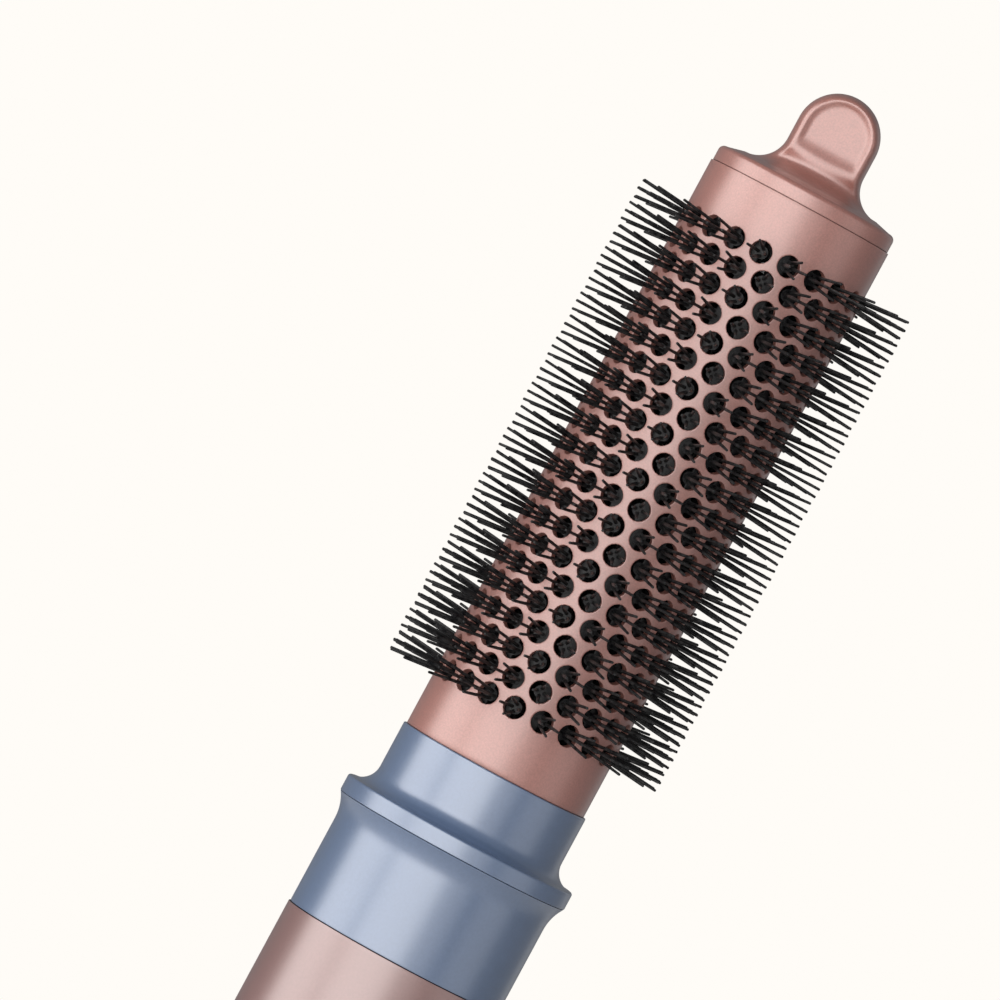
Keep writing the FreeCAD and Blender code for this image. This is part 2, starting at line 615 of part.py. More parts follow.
def make_motor():
    derive("spider_top", "motor_top - 1")
    derive("spider_bottom", "motor_bottom + 1")
    derive("hub_bore", "bearing_radius + shaft_gap")
    derive("stator_bottom", "(motor_bottom + motor_top - stator_length) / 2")
    derive("shaft_bottom", "motor_bottom - 1")
    body = new_body("motor_housing")
    revolve(body, [
        ("motor_bore", "motor_bottom"), ("motor_radius", "motor_bottom"),
        ("motor_radius", "motor_top"), ("motor_bore", "motor_top"),
        ("motor_bore", "spider_top"), ("hub_bore", "spider_top"),
        ("hub_bore", "spider_top - bearing_width"),
        ("motor_bore", "spider_top - bearing_width"),
        ("motor_bore", "spider_bottom + bearing_width"),
        ("hub_bore", "spider_bottom + bearing_width"), ("hub_bore", "spider_bottom"),
        ("motor_bore", "spider_bottom")])
    vent = circles(body, "XY_Plane", [("(motor_bore + hub_bore) / 2", "0")],
                   "(motor_bore - hub_bore) / 4", "air_hole")
    around(body, cut_through(body, vent, towards_front=True), "stator_slots", "N_Axis")
    piece(body, "motor_housing")

    rings = []
    for start in ("motor_bottom + 2", "motor_top - 2 - mount_width"):
        outer = Part.makeCylinder(value("chassis_bore - seam_gap"), value("mount_width"),
                                  FreeCAD.Vector(0, 0, value(start)))
        inner = Part.makeCylinder(value("motor_radius + seam_gap"), value("mount_width"),
                                  FreeCAD.Vector(0, 0, value(start)))
        rings.append(outer.cut(inner))
    group("motor_mounts", rings)

    body = new_body("motor_stator")
    revolve(body, tube_outline("stator_bore", "motor_bore - seam_gap", "stator_bottom",
                               "stator_bottom + stator_length"))
    slot = circles(body, "XY_Plane", [("(motor_bore + stator_bore) / 2", "0")],
                   "(motor_bore - stator_bore) / 5", "winding_slot")
    around(body, cut_through(body, slot, towards_front=True), "stator_slots", "N_Axis")
    piece(body, "motor_stator")

    rings = []
    for start in ("spider_bottom", "spider_top - bearing_width"):
        outer = Part.makeCylinder(value("bearing_radius"), value("bearing_width"),
                                  FreeCAD.Vector(0, 0, value(start)))
        inner = Part.makeCylinder(value("shaft_radius + shaft_gap"), value("bearing_width"),
                                  FreeCAD.Vector(0, 0, value(start)))
        rings.append(outer.cut(inner))
    group("motor_bearings", rings)

    body = new_body("motor_shaft")
    revolve(body, [("0", "shaft_bottom"), ("shaft_radius", "shaft_bottom"),
                   ("shaft_radius", "impeller_top + 1"), ("0", "impeller_top + 1")])
    piece(body, "motor_shaft")
    tube("rotor_magnet", "shaft_radius + shaft_gap / 2", "stator_bore - slip_gap",
         "stator_bottom + 1", "stator_bottom + stator_length - 1")

    hub = doc.addObject("Part::Feature", "impeller")
    bottom, top = value("impeller_bottom"), value("impeller_top")
    outer, bore = value("impeller_radius"), value("shaft_radius + shaft_gap / 2")
    blade_size = value("blade_thickness")
    start = FreeCAD.Vector(0, 0, bottom)
    disc = Part.makeCylinder(outer, blade_size, start)
    shapes = [Part.makeCylinder(3 * bore, top - bottom, start)]
    for number in range(round(value("impeller_blades"))):
        blade = Part.makeBox(outer - 2.2 * bore, blade_size, top - bottom,
                             FreeCAD.Vector(2 * bore, -blade_size / 2, bottom))
        blade.rotate(FreeCAD.Vector(2 * bore, 0, 0), FreeCAD.Vector(0, 0, 1),
                     value("blade_lean"))
        blade = blade.common(Part.makeCylinder(outer, top - bottom, start))
        blade.rotate(FreeCAD.Vector(), FreeCAD.Vector(0, 0, 1),
                     number * 360 / value("impeller_blades"))
        shapes.append(blade)
    wheel = disc.fuse(shapes).cut(Part.makeCylinder(bore, top - bottom, start))
    hub.Shape = wheel.removeSplitter()
    piece(hub, "impeller")


# ---------------------------------------------------------------- controls

def make_controls():
    derive("slot_middle", "panel_bottom + slider_rise")
    derive("slot_half", "(slider_length + slider_travel) / 2 + slip_gap")
    derive("heat_height", "panel_bottom + heat_rise")
    derive("speed_height", "heat_height + key_pitch")
    derive("cool_height", "speed_height + key_pitch")
    derive("lamp_height", "panel_bottom + lamp_rise")
    derive("lip_face", "bezel_bore - 1.3")
    derive("lip_back", "lip_face - 0.8")
    derive("key_face", "handle_radius - 0.25")
    derive("switch_face", "lip_back - key_stem - key_travel - slip_gap")
    derive("control_board_depth", "switch_face - switch_height")

    body = new_body("control_bezel")
    revolve(body, tube_outline("-bezel_radius", "-bezel_bore", "panel_bottom + seam_gap",
                               "panel_top - seam_gap"), role="YZ_Plane",
            span="panel_span - 2 * panel_play")
    keys = circles(body, "XZ_Plane", [("0", "heat_height"), ("0", "speed_height"),
                                      ("0", "cool_height")], "key_radius + slip_gap", "key_holes")
    cut_through(body, keys, towards_front=True)
    lamps = circles(body, "XZ_Plane", [("-lamp_pitch", "lamp_height"), ("0", "lamp_height"),
                                       ("lamp_pitch", "lamp_height")],
                    "lamp_radius + seam_gap", "lamp_holes")
    cut_through(body, lamps, towards_front=True)
    slot = outline(body, "XZ_Plane", [
        ("-slider_width / 2 - slip_gap", "slot_middle - slot_half"),
        ("slider_width / 2 + slip_gap", "slot_middle - slot_half"),
        ("slider_width / 2 + slip_gap", "slot_middle + slot_half"),
        ("-slider_width / 2 - slip_gap", "slot_middle + slot_half")], "slider_slot")
    cut_through(body, slot, towards_front=True)
    piece(body, "control_bezel")

    derive("knob_bottom", "slot_middle - slot_half + slip_gap")
    knob = block("slider_knob", ("-slider_width / 2", "-key_face", "knob_bottom"),
                 ("slider_width / 2", "-lip_face", "knob_bottom + slider_length"))
    runner = block("slider_runner",
                   ("-slider_width / 2 - 1.2", "-lip_face", "knob_bottom - 1.5"),
                   ("slider_width / 2 + 1.2", "-lip_back", "knob_bottom + slider_length + 1.5"))
    piece(joined("power_slider", [knob, runner]), "power_slider")

    for name, height in (("heat_button", "heat_height"), ("speed_button", "speed_height"),
                         ("cool_shot_button", "cool_height")):
        body = new_body(name)
        revolve(body, [
            ("0", "lip_back - key_stem"), ("key_radius / 2", "lip_back - key_stem"),
            ("key_radius / 2", "lip_back"), ("key_radius + key_lip", "lip_back"),
            ("key_radius + key_lip", "lip_face"), ("key_radius", "lip_face"),
            ("key_radius", "key_face"), ("0", "key_face")])
        body.Placement.Rotation = FreeCAD.Rotation(FreeCAD.Vector(1, 0, 0), 90)
        body.setExpression("Placement.Base.z", bound(height))
        piece(body, name)

    lenses = []
    for step in (-1, 0, 1):
        lens = Part.makeCylinder(
            value("lamp_radius"), value("bezel_radius - bezel_bore"),
            FreeCAD.Vector(step * value("lamp_pitch"), -value("bezel_bore"), value("lamp_height")),
            FreeCAD.Vector(0, -1, 0))
        lenses.append(lens)
    group("indicator_lenses", lenses)


def make_boards():
    derive("board_bottom", "panel_bottom + 2")
    derive("board_top", "panel_top - 6")
    derive("fit_radius", "chassis_bore - seam_gap")
    derive("control_board_half", "sqrt(fit_radius^2 - control_board_depth^2)")
    derive("main_board_back", "main_board_depth + board_thickness")
    derive("main_board_half", "sqrt(fit_radius^2 - main_board_back^2)")
    board = block("control_board", ("-control_board_half", "-control_board_depth", "board_bottom"),
                  ("control_board_half", "-control_board_depth + board_thickness", "board_top"))
    piece(board, "control_board")
    switches = []
    for height in ("heat_height", "speed_height", "cool_height"):
        switches.append(Part.makeBox(
            6, value("switch_face - control_board_depth"), 6,
            FreeCAD.Vector(-3, -value("switch_face"), value(height) - 3)))
    group("key_switches", switches)

    face = "main_board_depth"
    board = block("main_board_sheet", ("-main_board_half", face, "impeller_top + 3"),
                  ("main_board_half", "main_board_back", "heater_bottom - 4"))
    parts = [board]
    derive("board_room", "heater_bottom - 4 - impeller_top - 3")
    for number, (across, share, wide, tall, deep) in enumerate((
            (-9, 0.11, 8, 8, 6), (4, 0.08, 7, 14, 5), (-9, 0.36, 6, 12, 7), (2, 0.41, 9, 9, 3),
            (-4, 0.63, 8, 10, 4))):
        low = f"impeller_top + 3 + {share} * board_room"
        parts.append(block(f"component_{number}", (str(across), f"{face} - {deep}", low),
                           (str(across + wide), face, f"{low} + {tall}")))
    piece(joined("main_circuit_board", parts), "main_circuit_board")


# ---------------------------------------------------------------- heater

def make_heater():
    tube("heater_tube", "heater_bore", "heater_radius", "heater_bottom", "heater_top")
    derive("plate_half", "coil_radius - wire_radius - 0.15")
    derive("frame_bottom", "heater_bottom + 2")
    derive("frame_top", "heater_top - 2")
    body = new_body("heater_frame")
    for number, half_turn in enumerate(("XZ_Plane", "YZ_Plane")):
        plate = outline(body, half_turn, [
            ("-plate_half", "frame_bottom"), ("plate_half", "frame_bottom"),
            ("plate_half", "frame_top"), ("-plate_half", "frame_top")], f"plate_{number}")
        pad_both_ways(body, plate, "frame_thickness")
    for start in ("frame_bottom", "frame_top - 1.5"):
        revolve(body, tube_outline("plate_half - 1", "heater_bore - seam_gap", start,
                                   f"{start} + 1.5"), "end_ring_" + start[6:9])
    piece(body, "heater_frame")

    turns = round(value("heater_turns"))
    low, high = value("frame_bottom + 12"), value("frame_top - 4")
    rings = []
    for number in range(turns):
        height = low + (high - low) * number / (turns - 1)
        rings.append(Part.makeTorus(value("coil_radius"), value("wire_radius"),
                                    FreeCAD.Vector(0, 0, height)))
    group("heater_coil", rings)

    fuse = doc.addObject("Part::Cylinder", "thermal_fuse")
    fuse.setExpression("Radius", bound("wire_radius * 2.5"))
    fuse.Height = 7
    fuse.setExpression("Placement.Base.x", bound("frame_thickness / 2 + wire_radius * 2.5"))
    fuse.setExpression("Placement.Base.y", bound("frame_thickness / 2 + wire_radius * 2.5"))
    fuse.setExpression("Placement.Base.z", bound("frame_bottom + 3"))
    piece(fuse, "thermal_fuse")


# ---------------------------------------------------------------- spigot and lock

def make_spigot():
    body = new_body("nozzle_spigot")
    revolve(body, [
        ("spigot_bore", "spigot_bottom"), ("chassis_radius", "spigot_bottom"),
        ("chassis_radius", "handle_length - 4 * seam_gap"),
        ("spigot_radius", "handle_length - 4 * seam_gap"),
        ("spigot_radius", "spigot_top"), ("spigot_bore", "spigot_top")])
    lug = revolve(body, tube_outline("spigot_radius - 0.5", "lug_radius", "lug_bottom", "lug_top"),
                  "lug", span="lug_span")
    around(body, lug, "lug_count")
    spline = outline(body, "XZ_Plane", tube_outline(
        "spigot_radius - 0.5", "spigot_radius + spline_reach", "spline_top - spline_height",
        "spline_top"), "spline")
    around(body, pad_both_ways(body, spline, "spline_width"), "lug_count")
    piece(body, "nozzle_spigot")

    body = new_body("outlet_grille")
    revolve(body, [("0", "grille_bottom"), ("spigot_bore - seam_gap", "grille_bottom"),
                   ("spigot_bore - seam_gap", "grille_bottom + grille_thickness"),
                   ("0", "grille_bottom + grille_thickness")])
    slot = outline(body, "XY_Plane", [
        ("spigot_bore / 4", "-spigot_bore / 16"), ("spigot_bore - 1.8", "-spigot_bore / 12"),
        ("spigot_bore - 1.8", "spigot_bore / 12"), ("spigot_bore / 4", "spigot_bore / 16")],
        "grille_slot")
    around(body, cut_through(body, slot, towards_front=True), "grille_slots", "N_Axis")
    piece(body, "outlet_grille")


def make_lock_sleeve():
    body = new_body("lock_sleeve")
    revolve(body, [
        ("lock_bore", "lock_bottom"), ("lock_radius", "lock_bottom"),
        ("lock_radius", "lock_top - flare_height"), ("flare_radius", "lock_top"),
        ("lock_bore", "lock_top"),
        ("lock_bore", "bead_bottom + bead_height + slip_gap"),
        ("bead_radius + slip_gap", "bead_bottom + bead_height + slip_gap"),
        ("bead_radius + slip_gap", "bead_bottom - slip_gap"),
        ("lock_bore", "bead_bottom - slip_gap"),
        ("lock_bore", "tooth_top"), ("tooth_bore", "tooth_top"),
        ("tooth_bore", "tooth_top - tooth_height"), ("lock_bore", "tooth_top - tooth_height")],
        arcs={2: "-flare_curve"})
    slot = groove(body, tube_outline("tooth_bore - 1", "lug_radius + slip_gap",
                                     "tooth_top - tooth_height - 1", "tooth_top + 1"),
                  "lug_slot", "lug_span + 2 * lug_play")
    around(body, slot, "lug_count")
    piece(body, "lock_sleeve")


# ---------------------------------------------------------------- brush head

def make_collar():
    body = new_body("collar_neck")
    revolve(body, [
        ("tooth_bore", "skirt_bottom"), ("skirt_radius", "skirt_bottom"),
        ("skirt_radius", "bead_bottom"), ("bead_radius", "bead_bottom"),
        ("bead_radius", "bead_bottom + bead_height"),
        ("skirt_radius", "bead_bottom + bead_height"),
        ("skirt_radius", "collar_bottom"), ("flange_radius", "collar_bottom"),
        ("flange_radius", "collar_bottom + flange_height"),
        ("neck_radius", "collar_bottom + flange_height"), ("neck_radius", "neck_top"),
        ("barrel_tail_radius + seam_gap", "neck_top"),
        ("barrel_tail_radius + seam_gap", "ledge_top"), ("ledge_bore", "ledge_top"),
        ("ledge_bore", "ledge_bottom"), ("tooth_bore", "ledge_bottom")])
    round_edges(body, "neck_fillet * 0.94", [("neck_radius", "collar_bottom + flange_height")])
    keyway = outline(body, "XZ_Plane", tube_outline(
        "tooth_bore - 1", "spigot_radius + spline_reach + slip_gap", "skirt_bottom - 1",
        "ledge_bottom - seam_gap - seal_thickness"), "keyway")
    doc.recompute()
    way = body.newObject("PartDesign::Pocket", "keyway_cut")
    way.Profile = keyway
    way.Midplane = True
    way.setExpression("Length", bound("spline_width + 2 * slip_gap"))
    body.Tip = way
    around(body, way, "lug_count")
    piece(body, "collar_neck")
    tube("socket_seal", "ledge_bore", "tooth_bore - seam_gap", "spigot_top + seam_gap",
         "ledge_bottom - seam_gap")


def make_barrel():
    tail_bore = "barrel_tail_radius - barrel_tail_wall"
    profile = [
        (tail_bore, "ledge_top + 2 * seam_gap + core_foot"),
        ("barrel_tail_radius", "ledge_top + 2 * seam_gap + core_foot"),
        ("barrel_tail_radius", "barrel_step"), ("barrel_radius", "barrel_step"),
        ("barrel_radius", "barrel_top"), ("barrel_bore", "barrel_top"),
        ("barrel_bore", "barrel_step + barrel_wall"), (tail_bore, "barrel_step + barrel_wall")]
    corners = [FreeCAD.Vector(value(across), 0, value(height)) for across, height in profile]
    wire = Part.makePolygon(corners + corners[:1])
    shell = Part.Face(wire).revolve(FreeCAD.Vector(), FreeCAD.Vector(0, 0, 1), 360)
    drills = []
    for turn, height in vent_places():
        drill = Part.makeCylinder(value("vent_radius"), value("barrel_wall") + 2,
                                  FreeCAD.Vector(value("barrel_bore") - 1, 0, height),
                                  FreeCAD.Vector(1, 0, 0))
        drill.rotate(FreeCAD.Vector(), FreeCAD.Vector(0, 0, 1), turn)
        drills.append(drill)
    barrel = doc.addObject("Part::Feature", "brush_barrel")
    barrel.Shape = shell.cut(drills)
    piece(barrel, "brush_barrel")


def column_places():
    """The two staggered columns of one strip: angle from its middle, and its heights."""
    half_step = 90 / value("strip_count")
    start = value("vent_bottom")
    pitch = value("vent_pitch")
    rows = round(value("vent_rows"))
    longer = [(half_step, start + pitch * row) for row in range(rows)]
    shorter = [(-half_step, start + pitch * (row + 0.5)) for row in range(rows - 1)]
    return longer + shorter


def strip_angles():
    """Angle of each strip about +Z from +X; the first is measured from the front."""
    count = round(value("strip_count"))
    return [value("strip_turn") - 90 + 360 * number / count for number in range(count)]


def vent_places():
    return [(middle + turn, height) for middle in strip_angles()
            for turn, height in column_places()]


def make_core():
    body = new_body("bristle_core")
    revolve(body, [
        ("core_bore", "ledge_top + seam_gap"),
        ("barrel_tail_radius - seam_gap", "ledge_top + seam_gap"),
        ("barrel_tail_radius - seam_gap", "ledge_top + seam_gap + core_foot"),
        ("core_radius", "ledge_top + seam_gap + core_foot"), ("core_radius", "core_top"),
        ("core_bore", "core_top")])
    slot = outline(body, "XZ_Plane", [
        ("-core_slot_width / 2", "strip_bottom + 3"), ("core_slot_width / 2", "strip_bottom + 3"),
        ("core_slot_width / 2", "strip_top - plug_depth"),
        ("-core_slot_width / 2", "strip_top - plug_depth")], "air_slot")
    around(body, cut_through(body, slot), "strip_count")
    half_pitch = 180 / value("strip_count")
    turn = FreeCAD.Rotation(FreeCAD.Vector(0, 0, 1), value("strip_turn") + half_pitch)
    body.Placement = FreeCAD.Placement(FreeCAD.Vector(), turn)
    piece(body, "bristle_core")
    tube("lower_strip_ring", "ring_bore", "ring_radius", "barrel_step + barrel_wall + seam_gap",
         "strip_bottom - seam_gap")
    tube("upper_strip_ring", "ring_bore", "ring_radius", "strip_top + seam_gap",
         "cap_foot - seam_gap")
    body = new_body("core_end_plug")
    hole = "screw_radius + seam_gap"
    revolve(body, [
        (hole, "core_top - plug_depth"), ("core_bore - seam_gap", "core_top - plug_depth"),
        ("core_bore - seam_gap", "core_top + seam_gap"),
        ("core_radius", "core_top + seam_gap"), ("core_radius", "cap_foot - seam_gap"),
        (hole, "cap_foot - seam_gap")])
    piece(body, "core_end_plug")


def make_bristle_strips():
    back, deep = value("strip_back"), value("strip_thickness")
    width, bottom = value("strip_width"), value("strip_bottom")
    spine = Part.makeBox(deep, width, value("strip_top") - bottom,
                         FreeCAD.Vector(back, -width / 2, bottom))
    root, tip = back + deep / 2, value("tuft_radius")
    additions = []
    for turn, height in column_places():
        tuft = [Part.makeCylinder(value("post_radius"), deep + value("seat_rise"),
                                  FreeCAD.Vector(back, 0, height), FreeCAD.Vector(1, 0, 0))]
        for across, along in ((1, 0), (-1, 0), (0, 1), (0, -1)):
            near, far = value("pin_root_offset"), value("pin_tip_offset")
            start = FreeCAD.Vector(root, across * near, height + along * near)
            end = FreeCAD.Vector(tip, across * far, height + along * far)
            tuft.append(Part.makeCone(value("pin_root_radius"), value("pin_tip_radius"),
                                      (end - start).Length, start, end - start))
        for shape in tuft:
            shape.rotate(FreeCAD.Vector(), FreeCAD.Vector(0, 0, 1), turn)
        additions += tuft
    pattern = spine.fuse(additions)
    for number, angle in enumerate(strip_angles(), 1):
        strip = doc.addObject("Part::Feature", f"bristle_strip_{number:02d}")
        strip.Shape = pattern
        strip.Placement.Rotation = FreeCAD.Rotation(FreeCAD.Vector(0, 0, 1), angle)
        piece(strip, f"bristle_strip_{number:02d}")


def make_tip():
    derive("skirt_bore", "ring_radius - cap_wall")
    derive("hollow_top", "cap_bottom + rim_height - cap_wall")
    derive("boss_radius", "screw_head_radius + 1")
    derive("screw_top", "cap_bottom + screw_grip")
    body = new_body("cool_tip_cap")
    revolve(body, [
        ("screw_radius + shaft_gap", "cap_foot"), ("boss_radius", "cap_foot"),
        ("boss_radius", "hollow_top"), ("skirt_bore", "hollow_top"), ("skirt_bore", "cap_foot"),
        ("ring_radius", "cap_foot"), ("ring_radius", "cap_bottom"), ("cap_radius", "cap_bottom"),
        ("cap_radius", "rim_top"), ("shoulder_outer", "rim_top"),
        ("shoulder_inner", "shoulder_top"), ("0", "shoulder_top"),
        ("0", "screw_top + seam_gap"), ("screw_radius + shaft_gap", "screw_top + seam_gap")])
    tab = outline(body, "XZ_Plane", [
        ("-tab_radius - tab_curve", "shoulder_top - 0.5"),
        ("tab_radius + tab_curve", "shoulder_top - 0.5"),
        ("tab_radius + tab_curve", "shoulder_top"), ("tab_radius", "shoulder_top + tab_curve"),
        ("tab_radius", "tab_middle"), ("0", "tab_top"), ("-tab_radius", "tab_middle"),
        ("-tab_radius", "shoulder_top + tab_curve"), ("-tab_radius - tab_curve", "shoulder_top")],
        "tab", arcs={2: "-tab_curve", 4: "tab_radius", 5: "tab_radius", 7: "-tab_curve"})
    pad_both_ways(body, tab, "tab_thickness")
    derive("recess_radius", "tab_radius - tab_border")
    for number, towards_front in enumerate((True, False)):
        mark = body.newObject("PartDesign::Plane", f"face_{number}")
        mark.AttachmentSupport = (plane_of(body, "XZ_Plane"), "")
        mark.MapMode = "FlatFace"
        side = "" if towards_front else "-"
        mark.setExpression("AttachmentOffset.Base.z",
                           bound(f"{side}(tab_thickness / 2 - tab_recess)"))
        dish = outline(body, "XZ_Plane", [
            ("-recess_radius", "dish_bottom"), ("recess_radius", "dish_bottom"),
            ("recess_radius", "tab_middle"), ("0", "tab_middle + recess_radius"),
            ("-recess_radius", "tab_middle")], f"dish_{number}",
            arcs={2: "recess_radius", 3: "recess_radius"})
        dish.AttachmentSupport = (mark, "")
        cut_through(body, dish, towards_front=towards_front)
    piece(body, "cool_tip_cap")

    derive("head_seat", "core_top - plug_depth - seam_gap")
    body = new_body("tip_screw")
    revolve(body, [
        ("0", "head_seat - screw_head_height"), ("screw_head_radius", "head_seat - screw_head_height"),
        ("screw_head_radius", "head_seat"), ("screw_radius", "head_seat"),
        ("screw_radius", "screw_top"), ("0", "screw_top")])
    piece(body, "tip_screw")


# ---------------------------------------------------------------- build and write

for make in (make_filter_cage, make_inlet_tube, make_cord_gland, make_handle_sleeve,
             make_chassis, make_motor, make_controls, make_boards, make_heater, make_spigot,
             make_lock_sleeve, make_collar, make_barrel, make_core, make_bristle_strips,
             make_tip):
    make()
doc.recompute()

for item in doc.Objects:
    faults = {"Invalid", "Error"} & set(item.State)
    assert not faults, f"{item.Name}: {item.State}"
for item in PIECES:
    assert not item.Shape.isNull() and item.Shape.isValid(), item.Label

os.makedirs("parts", exist_ok=True)
for item in PIECES:
    item.Shape.exportStep(f"parts/{item.Label}.step")
print(len(PIECES), "sub-parts written")
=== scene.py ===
"""Looks of a hot air brush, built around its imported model.

Sizes are in millimetres until a piece is finished, which brings it to metres.
Angles round the brush are counted from the front, -Y, towards +X.
"""

import json
import logging
import math
from collections.abc import Callable, Sequence
from dataclasses import dataclass, field
from enum import Enum
from random import Random

import bmesh
import bpy
from mathutils import Matrix, Vector

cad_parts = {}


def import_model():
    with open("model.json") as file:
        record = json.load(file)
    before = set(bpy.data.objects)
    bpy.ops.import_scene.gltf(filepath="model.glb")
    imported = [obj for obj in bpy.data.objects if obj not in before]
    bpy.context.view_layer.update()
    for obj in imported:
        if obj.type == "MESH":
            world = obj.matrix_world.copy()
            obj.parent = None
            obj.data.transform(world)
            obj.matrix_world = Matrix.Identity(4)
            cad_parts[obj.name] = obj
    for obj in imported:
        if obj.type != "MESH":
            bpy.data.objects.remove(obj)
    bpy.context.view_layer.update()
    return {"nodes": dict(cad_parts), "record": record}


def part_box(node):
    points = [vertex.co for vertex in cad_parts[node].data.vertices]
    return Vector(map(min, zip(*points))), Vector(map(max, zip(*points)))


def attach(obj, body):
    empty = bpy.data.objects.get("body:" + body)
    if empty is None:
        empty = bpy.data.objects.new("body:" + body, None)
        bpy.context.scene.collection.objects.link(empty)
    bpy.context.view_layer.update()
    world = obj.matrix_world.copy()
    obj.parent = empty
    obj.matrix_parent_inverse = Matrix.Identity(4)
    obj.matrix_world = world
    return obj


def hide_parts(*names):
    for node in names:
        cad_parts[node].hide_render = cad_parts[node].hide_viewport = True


LOG = logging.getLogger("hot_air_brush")

MM = 0.001
SHARP_EDGE = math.radians(32)  # shading breaks at an edge that turns by more
CREASE = 1.0  # radians: an edge that turns by more can be softened
WELD = 0.004  # points that are closer become one
SKIN = 0.01  # how near the outer face a point counts as part of it
ON_FACE = 0.05  # the same, for a face that may have moved a little
SEAM = 0.1  # gap between pieces that are fixed to each other
LONG_RUN = 1.2  # a longer run of an outline gets support points
SUPPORT = 0.25  # how far these stand from its ends

Point = tuple[float, float]
Colour = tuple[float, float, float]
Mesh = bmesh.types.BMesh
Vert = bmesh.types.BMVert
Edge = bmesh.types.BMEdge
Tree = bpy.types.NodeTree
Node = bpy.types.Node
Socket = bpy.types.NodeSocket


# ---------------------------------------------------------------- mesh work


@dataclass(frozen=True)
class Extent:
    """Where a CAD node lies, in millimetres."""

    bottom: float
    top: float
    radius: float

    @classmethod
    def of(cls, node: str) -> "Extent":
        """Measures a CAD node.

        Args:
            node: the node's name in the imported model.

        Returns:
            Its lowest and highest level and its reach along +X.
        """
        low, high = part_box(node)
        return cls(low.z / MM, high.z / MM, high.x / MM)


@dataclass(frozen=True)
class Corner:
    """A corner of a turned outline: distance from the axis, level and rounding."""

    across: float
    level: float
    rounding: float = 0.0


def corner_points(before: Corner, corner: Corner, after: Corner) -> list[Point]:
    """Replaces a rounded corner by points on its arc.

    Args:
        before: the corner that comes first.
        corner: the corner to round.
        after: the corner that follows.

    Returns:
        The points that stand for the corner, in order.
    """
    here = Vector((corner.across, corner.level))
    if corner.rounding <= 0:
        return [tuple(here)]
    to_before = (Vector((before.across, before.level)) - here).normalized()
    to_after = (Vector((after.across, after.level)) - here).normalized()
    half = to_before.angle(to_after) / 2
    middle = here + (to_before + to_after).normalized() * (
        corner.rounding / math.sin(half)
    )
    start = here + to_before * corner.rounding / math.tan(half) - middle
    end = here + to_after * corner.rounding / math.tan(half) - middle
    steps = max(3, round(6 * corner.rounding ** 0.5))
    turn = start.angle_signed(end)
    points = []
    for step in range(steps + 1):
        angle = -turn * step / steps
        points.append(tuple(middle + Matrix.Rotation(angle, 2) @ start))
    return points


def outline(corners: Sequence[Corner], closed: bool = True) -> list[Point]:
    """Works out a turned outline with its rounded corners.

    Args:
        corners: the outline's corners in order.
        closed: False where the outline starts and ends on the axis.

    Returns:
        Its points, with a support point beside each end of a long straight run.
    """
    count = len(corners)
    points: list[Point] = []
    for index, corner in enumerate(corners):
        if not closed and index in (0, count - 1):
            points.append((corner.across, corner.level))
        else:
            points += corner_points(
                corners[index - 1], corner, corners[(index + 1) % count]
            )
    supported: list[Point] = []
    for start, end in zip(points, points[1:] + (points[:1] if closed else [])):
        supported.append(start)
        length = math.dist(start, end)
        if length > LONG_RUN:
            share = SUPPORT / length
            supported += [between(start, end, share), between(start, end, 1 - share)]
    if not closed:
        supported.append(points[-1])
    return supported


def between(start: Point, end: Point, share: float) -> Point:
    """The point a share of the way from one point to another."""
    return (
        start[0] + (end[0] - start[0]) * share,
        start[1] + (end[1] - start[1]) * share,
    )


def hollow_arc(start: Point, end: Point, radius: float, steps: int) -> list[Corner]:
    """A concave arc between two points of an outline that runs upwards outside.

    Args:
        start: the arc's lower end.
        end: the arc's upper end.
        radius: the arc's radius.
        steps: how many straight runs stand for it.

    Returns:
        The corners along the arc, both ends among them.
    """
    low, high = Vector(start), Vector(end)
    chord = high - low
    rise = math.sqrt(radius * radius - chord.length_squared / 4)
    middle = (low + high) / 2 + Vector((chord.y, -chord.x)).normalized() * rise
    first, last = low - middle, high - middle
    turn = first.angle_signed(last)
    corners = []
    for step in range(steps + 1):
        place = middle + Matrix.Rotation(-turn * step / steps, 2) @ first
        corners.append(Corner(place.x, place.y))
    return corners


def lathe(points: Sequence[Point], closed: bool = True, steps: int = 144) -> Mesh:
    """Turns an outline about the Z axis.

    Args:
        points: the outline, as distance from the axis and level.
        closed: False where the outline starts and ends on the axis.
        steps: how many steps make the full turn.

    Returns:
        The closed shape.
    """
    bm = bmesh.new()
    verts = [bm.verts.new((across, 0, level)) for across, level in points]
    ends = verts[1:] + (verts[:1] if closed else [])
    edges = [bm.edges.new(pair) for pair in zip(verts, ends)]
    bmesh.ops.spin(
        bm,
        geom=verts + edges,
        cent=(0, 0, 0),
        axis=(0, 0, 1),
        angle=math.tau,
        steps=steps,
        use_merge=True,
    )
    bmesh.ops.remove_doubles(bm, verts=bm.verts[:], dist=WELD)
    bmesh.ops.recalc_face_normals(bm, faces=bm.faces[:])
    return bm


def notch(
    bm: Mesh, turns: Sequence[float], half_angle: float, levels: Point, radii: Point
) -> None:
    """Widens a bore at some angles by moving its points outwards.

    Args:
        bm: the turned shape.
        turns: the middle of each notch about +Z from +X, in degrees.
        half_angle: half the notch's angle, in degrees.
        levels: lowest and highest point that moves.
        radii: the bore's radius, and the notch's.
    """
    for vert in bm.verts:
        on_bore = abs(reach_of(vert.co) - radii[0]) < ON_FACE
        if not on_bore or not levels[0] <= vert.co.z <= levels[1]:
            continue
        angle = math.degrees(math.atan2(vert.co.y, vert.co.x))
        if any(abs((angle - turn + 180) % 360 - 180) < half_angle for turn in turns):
            vert.co = on_ring(vert.co, radii[1], vert.co.z)


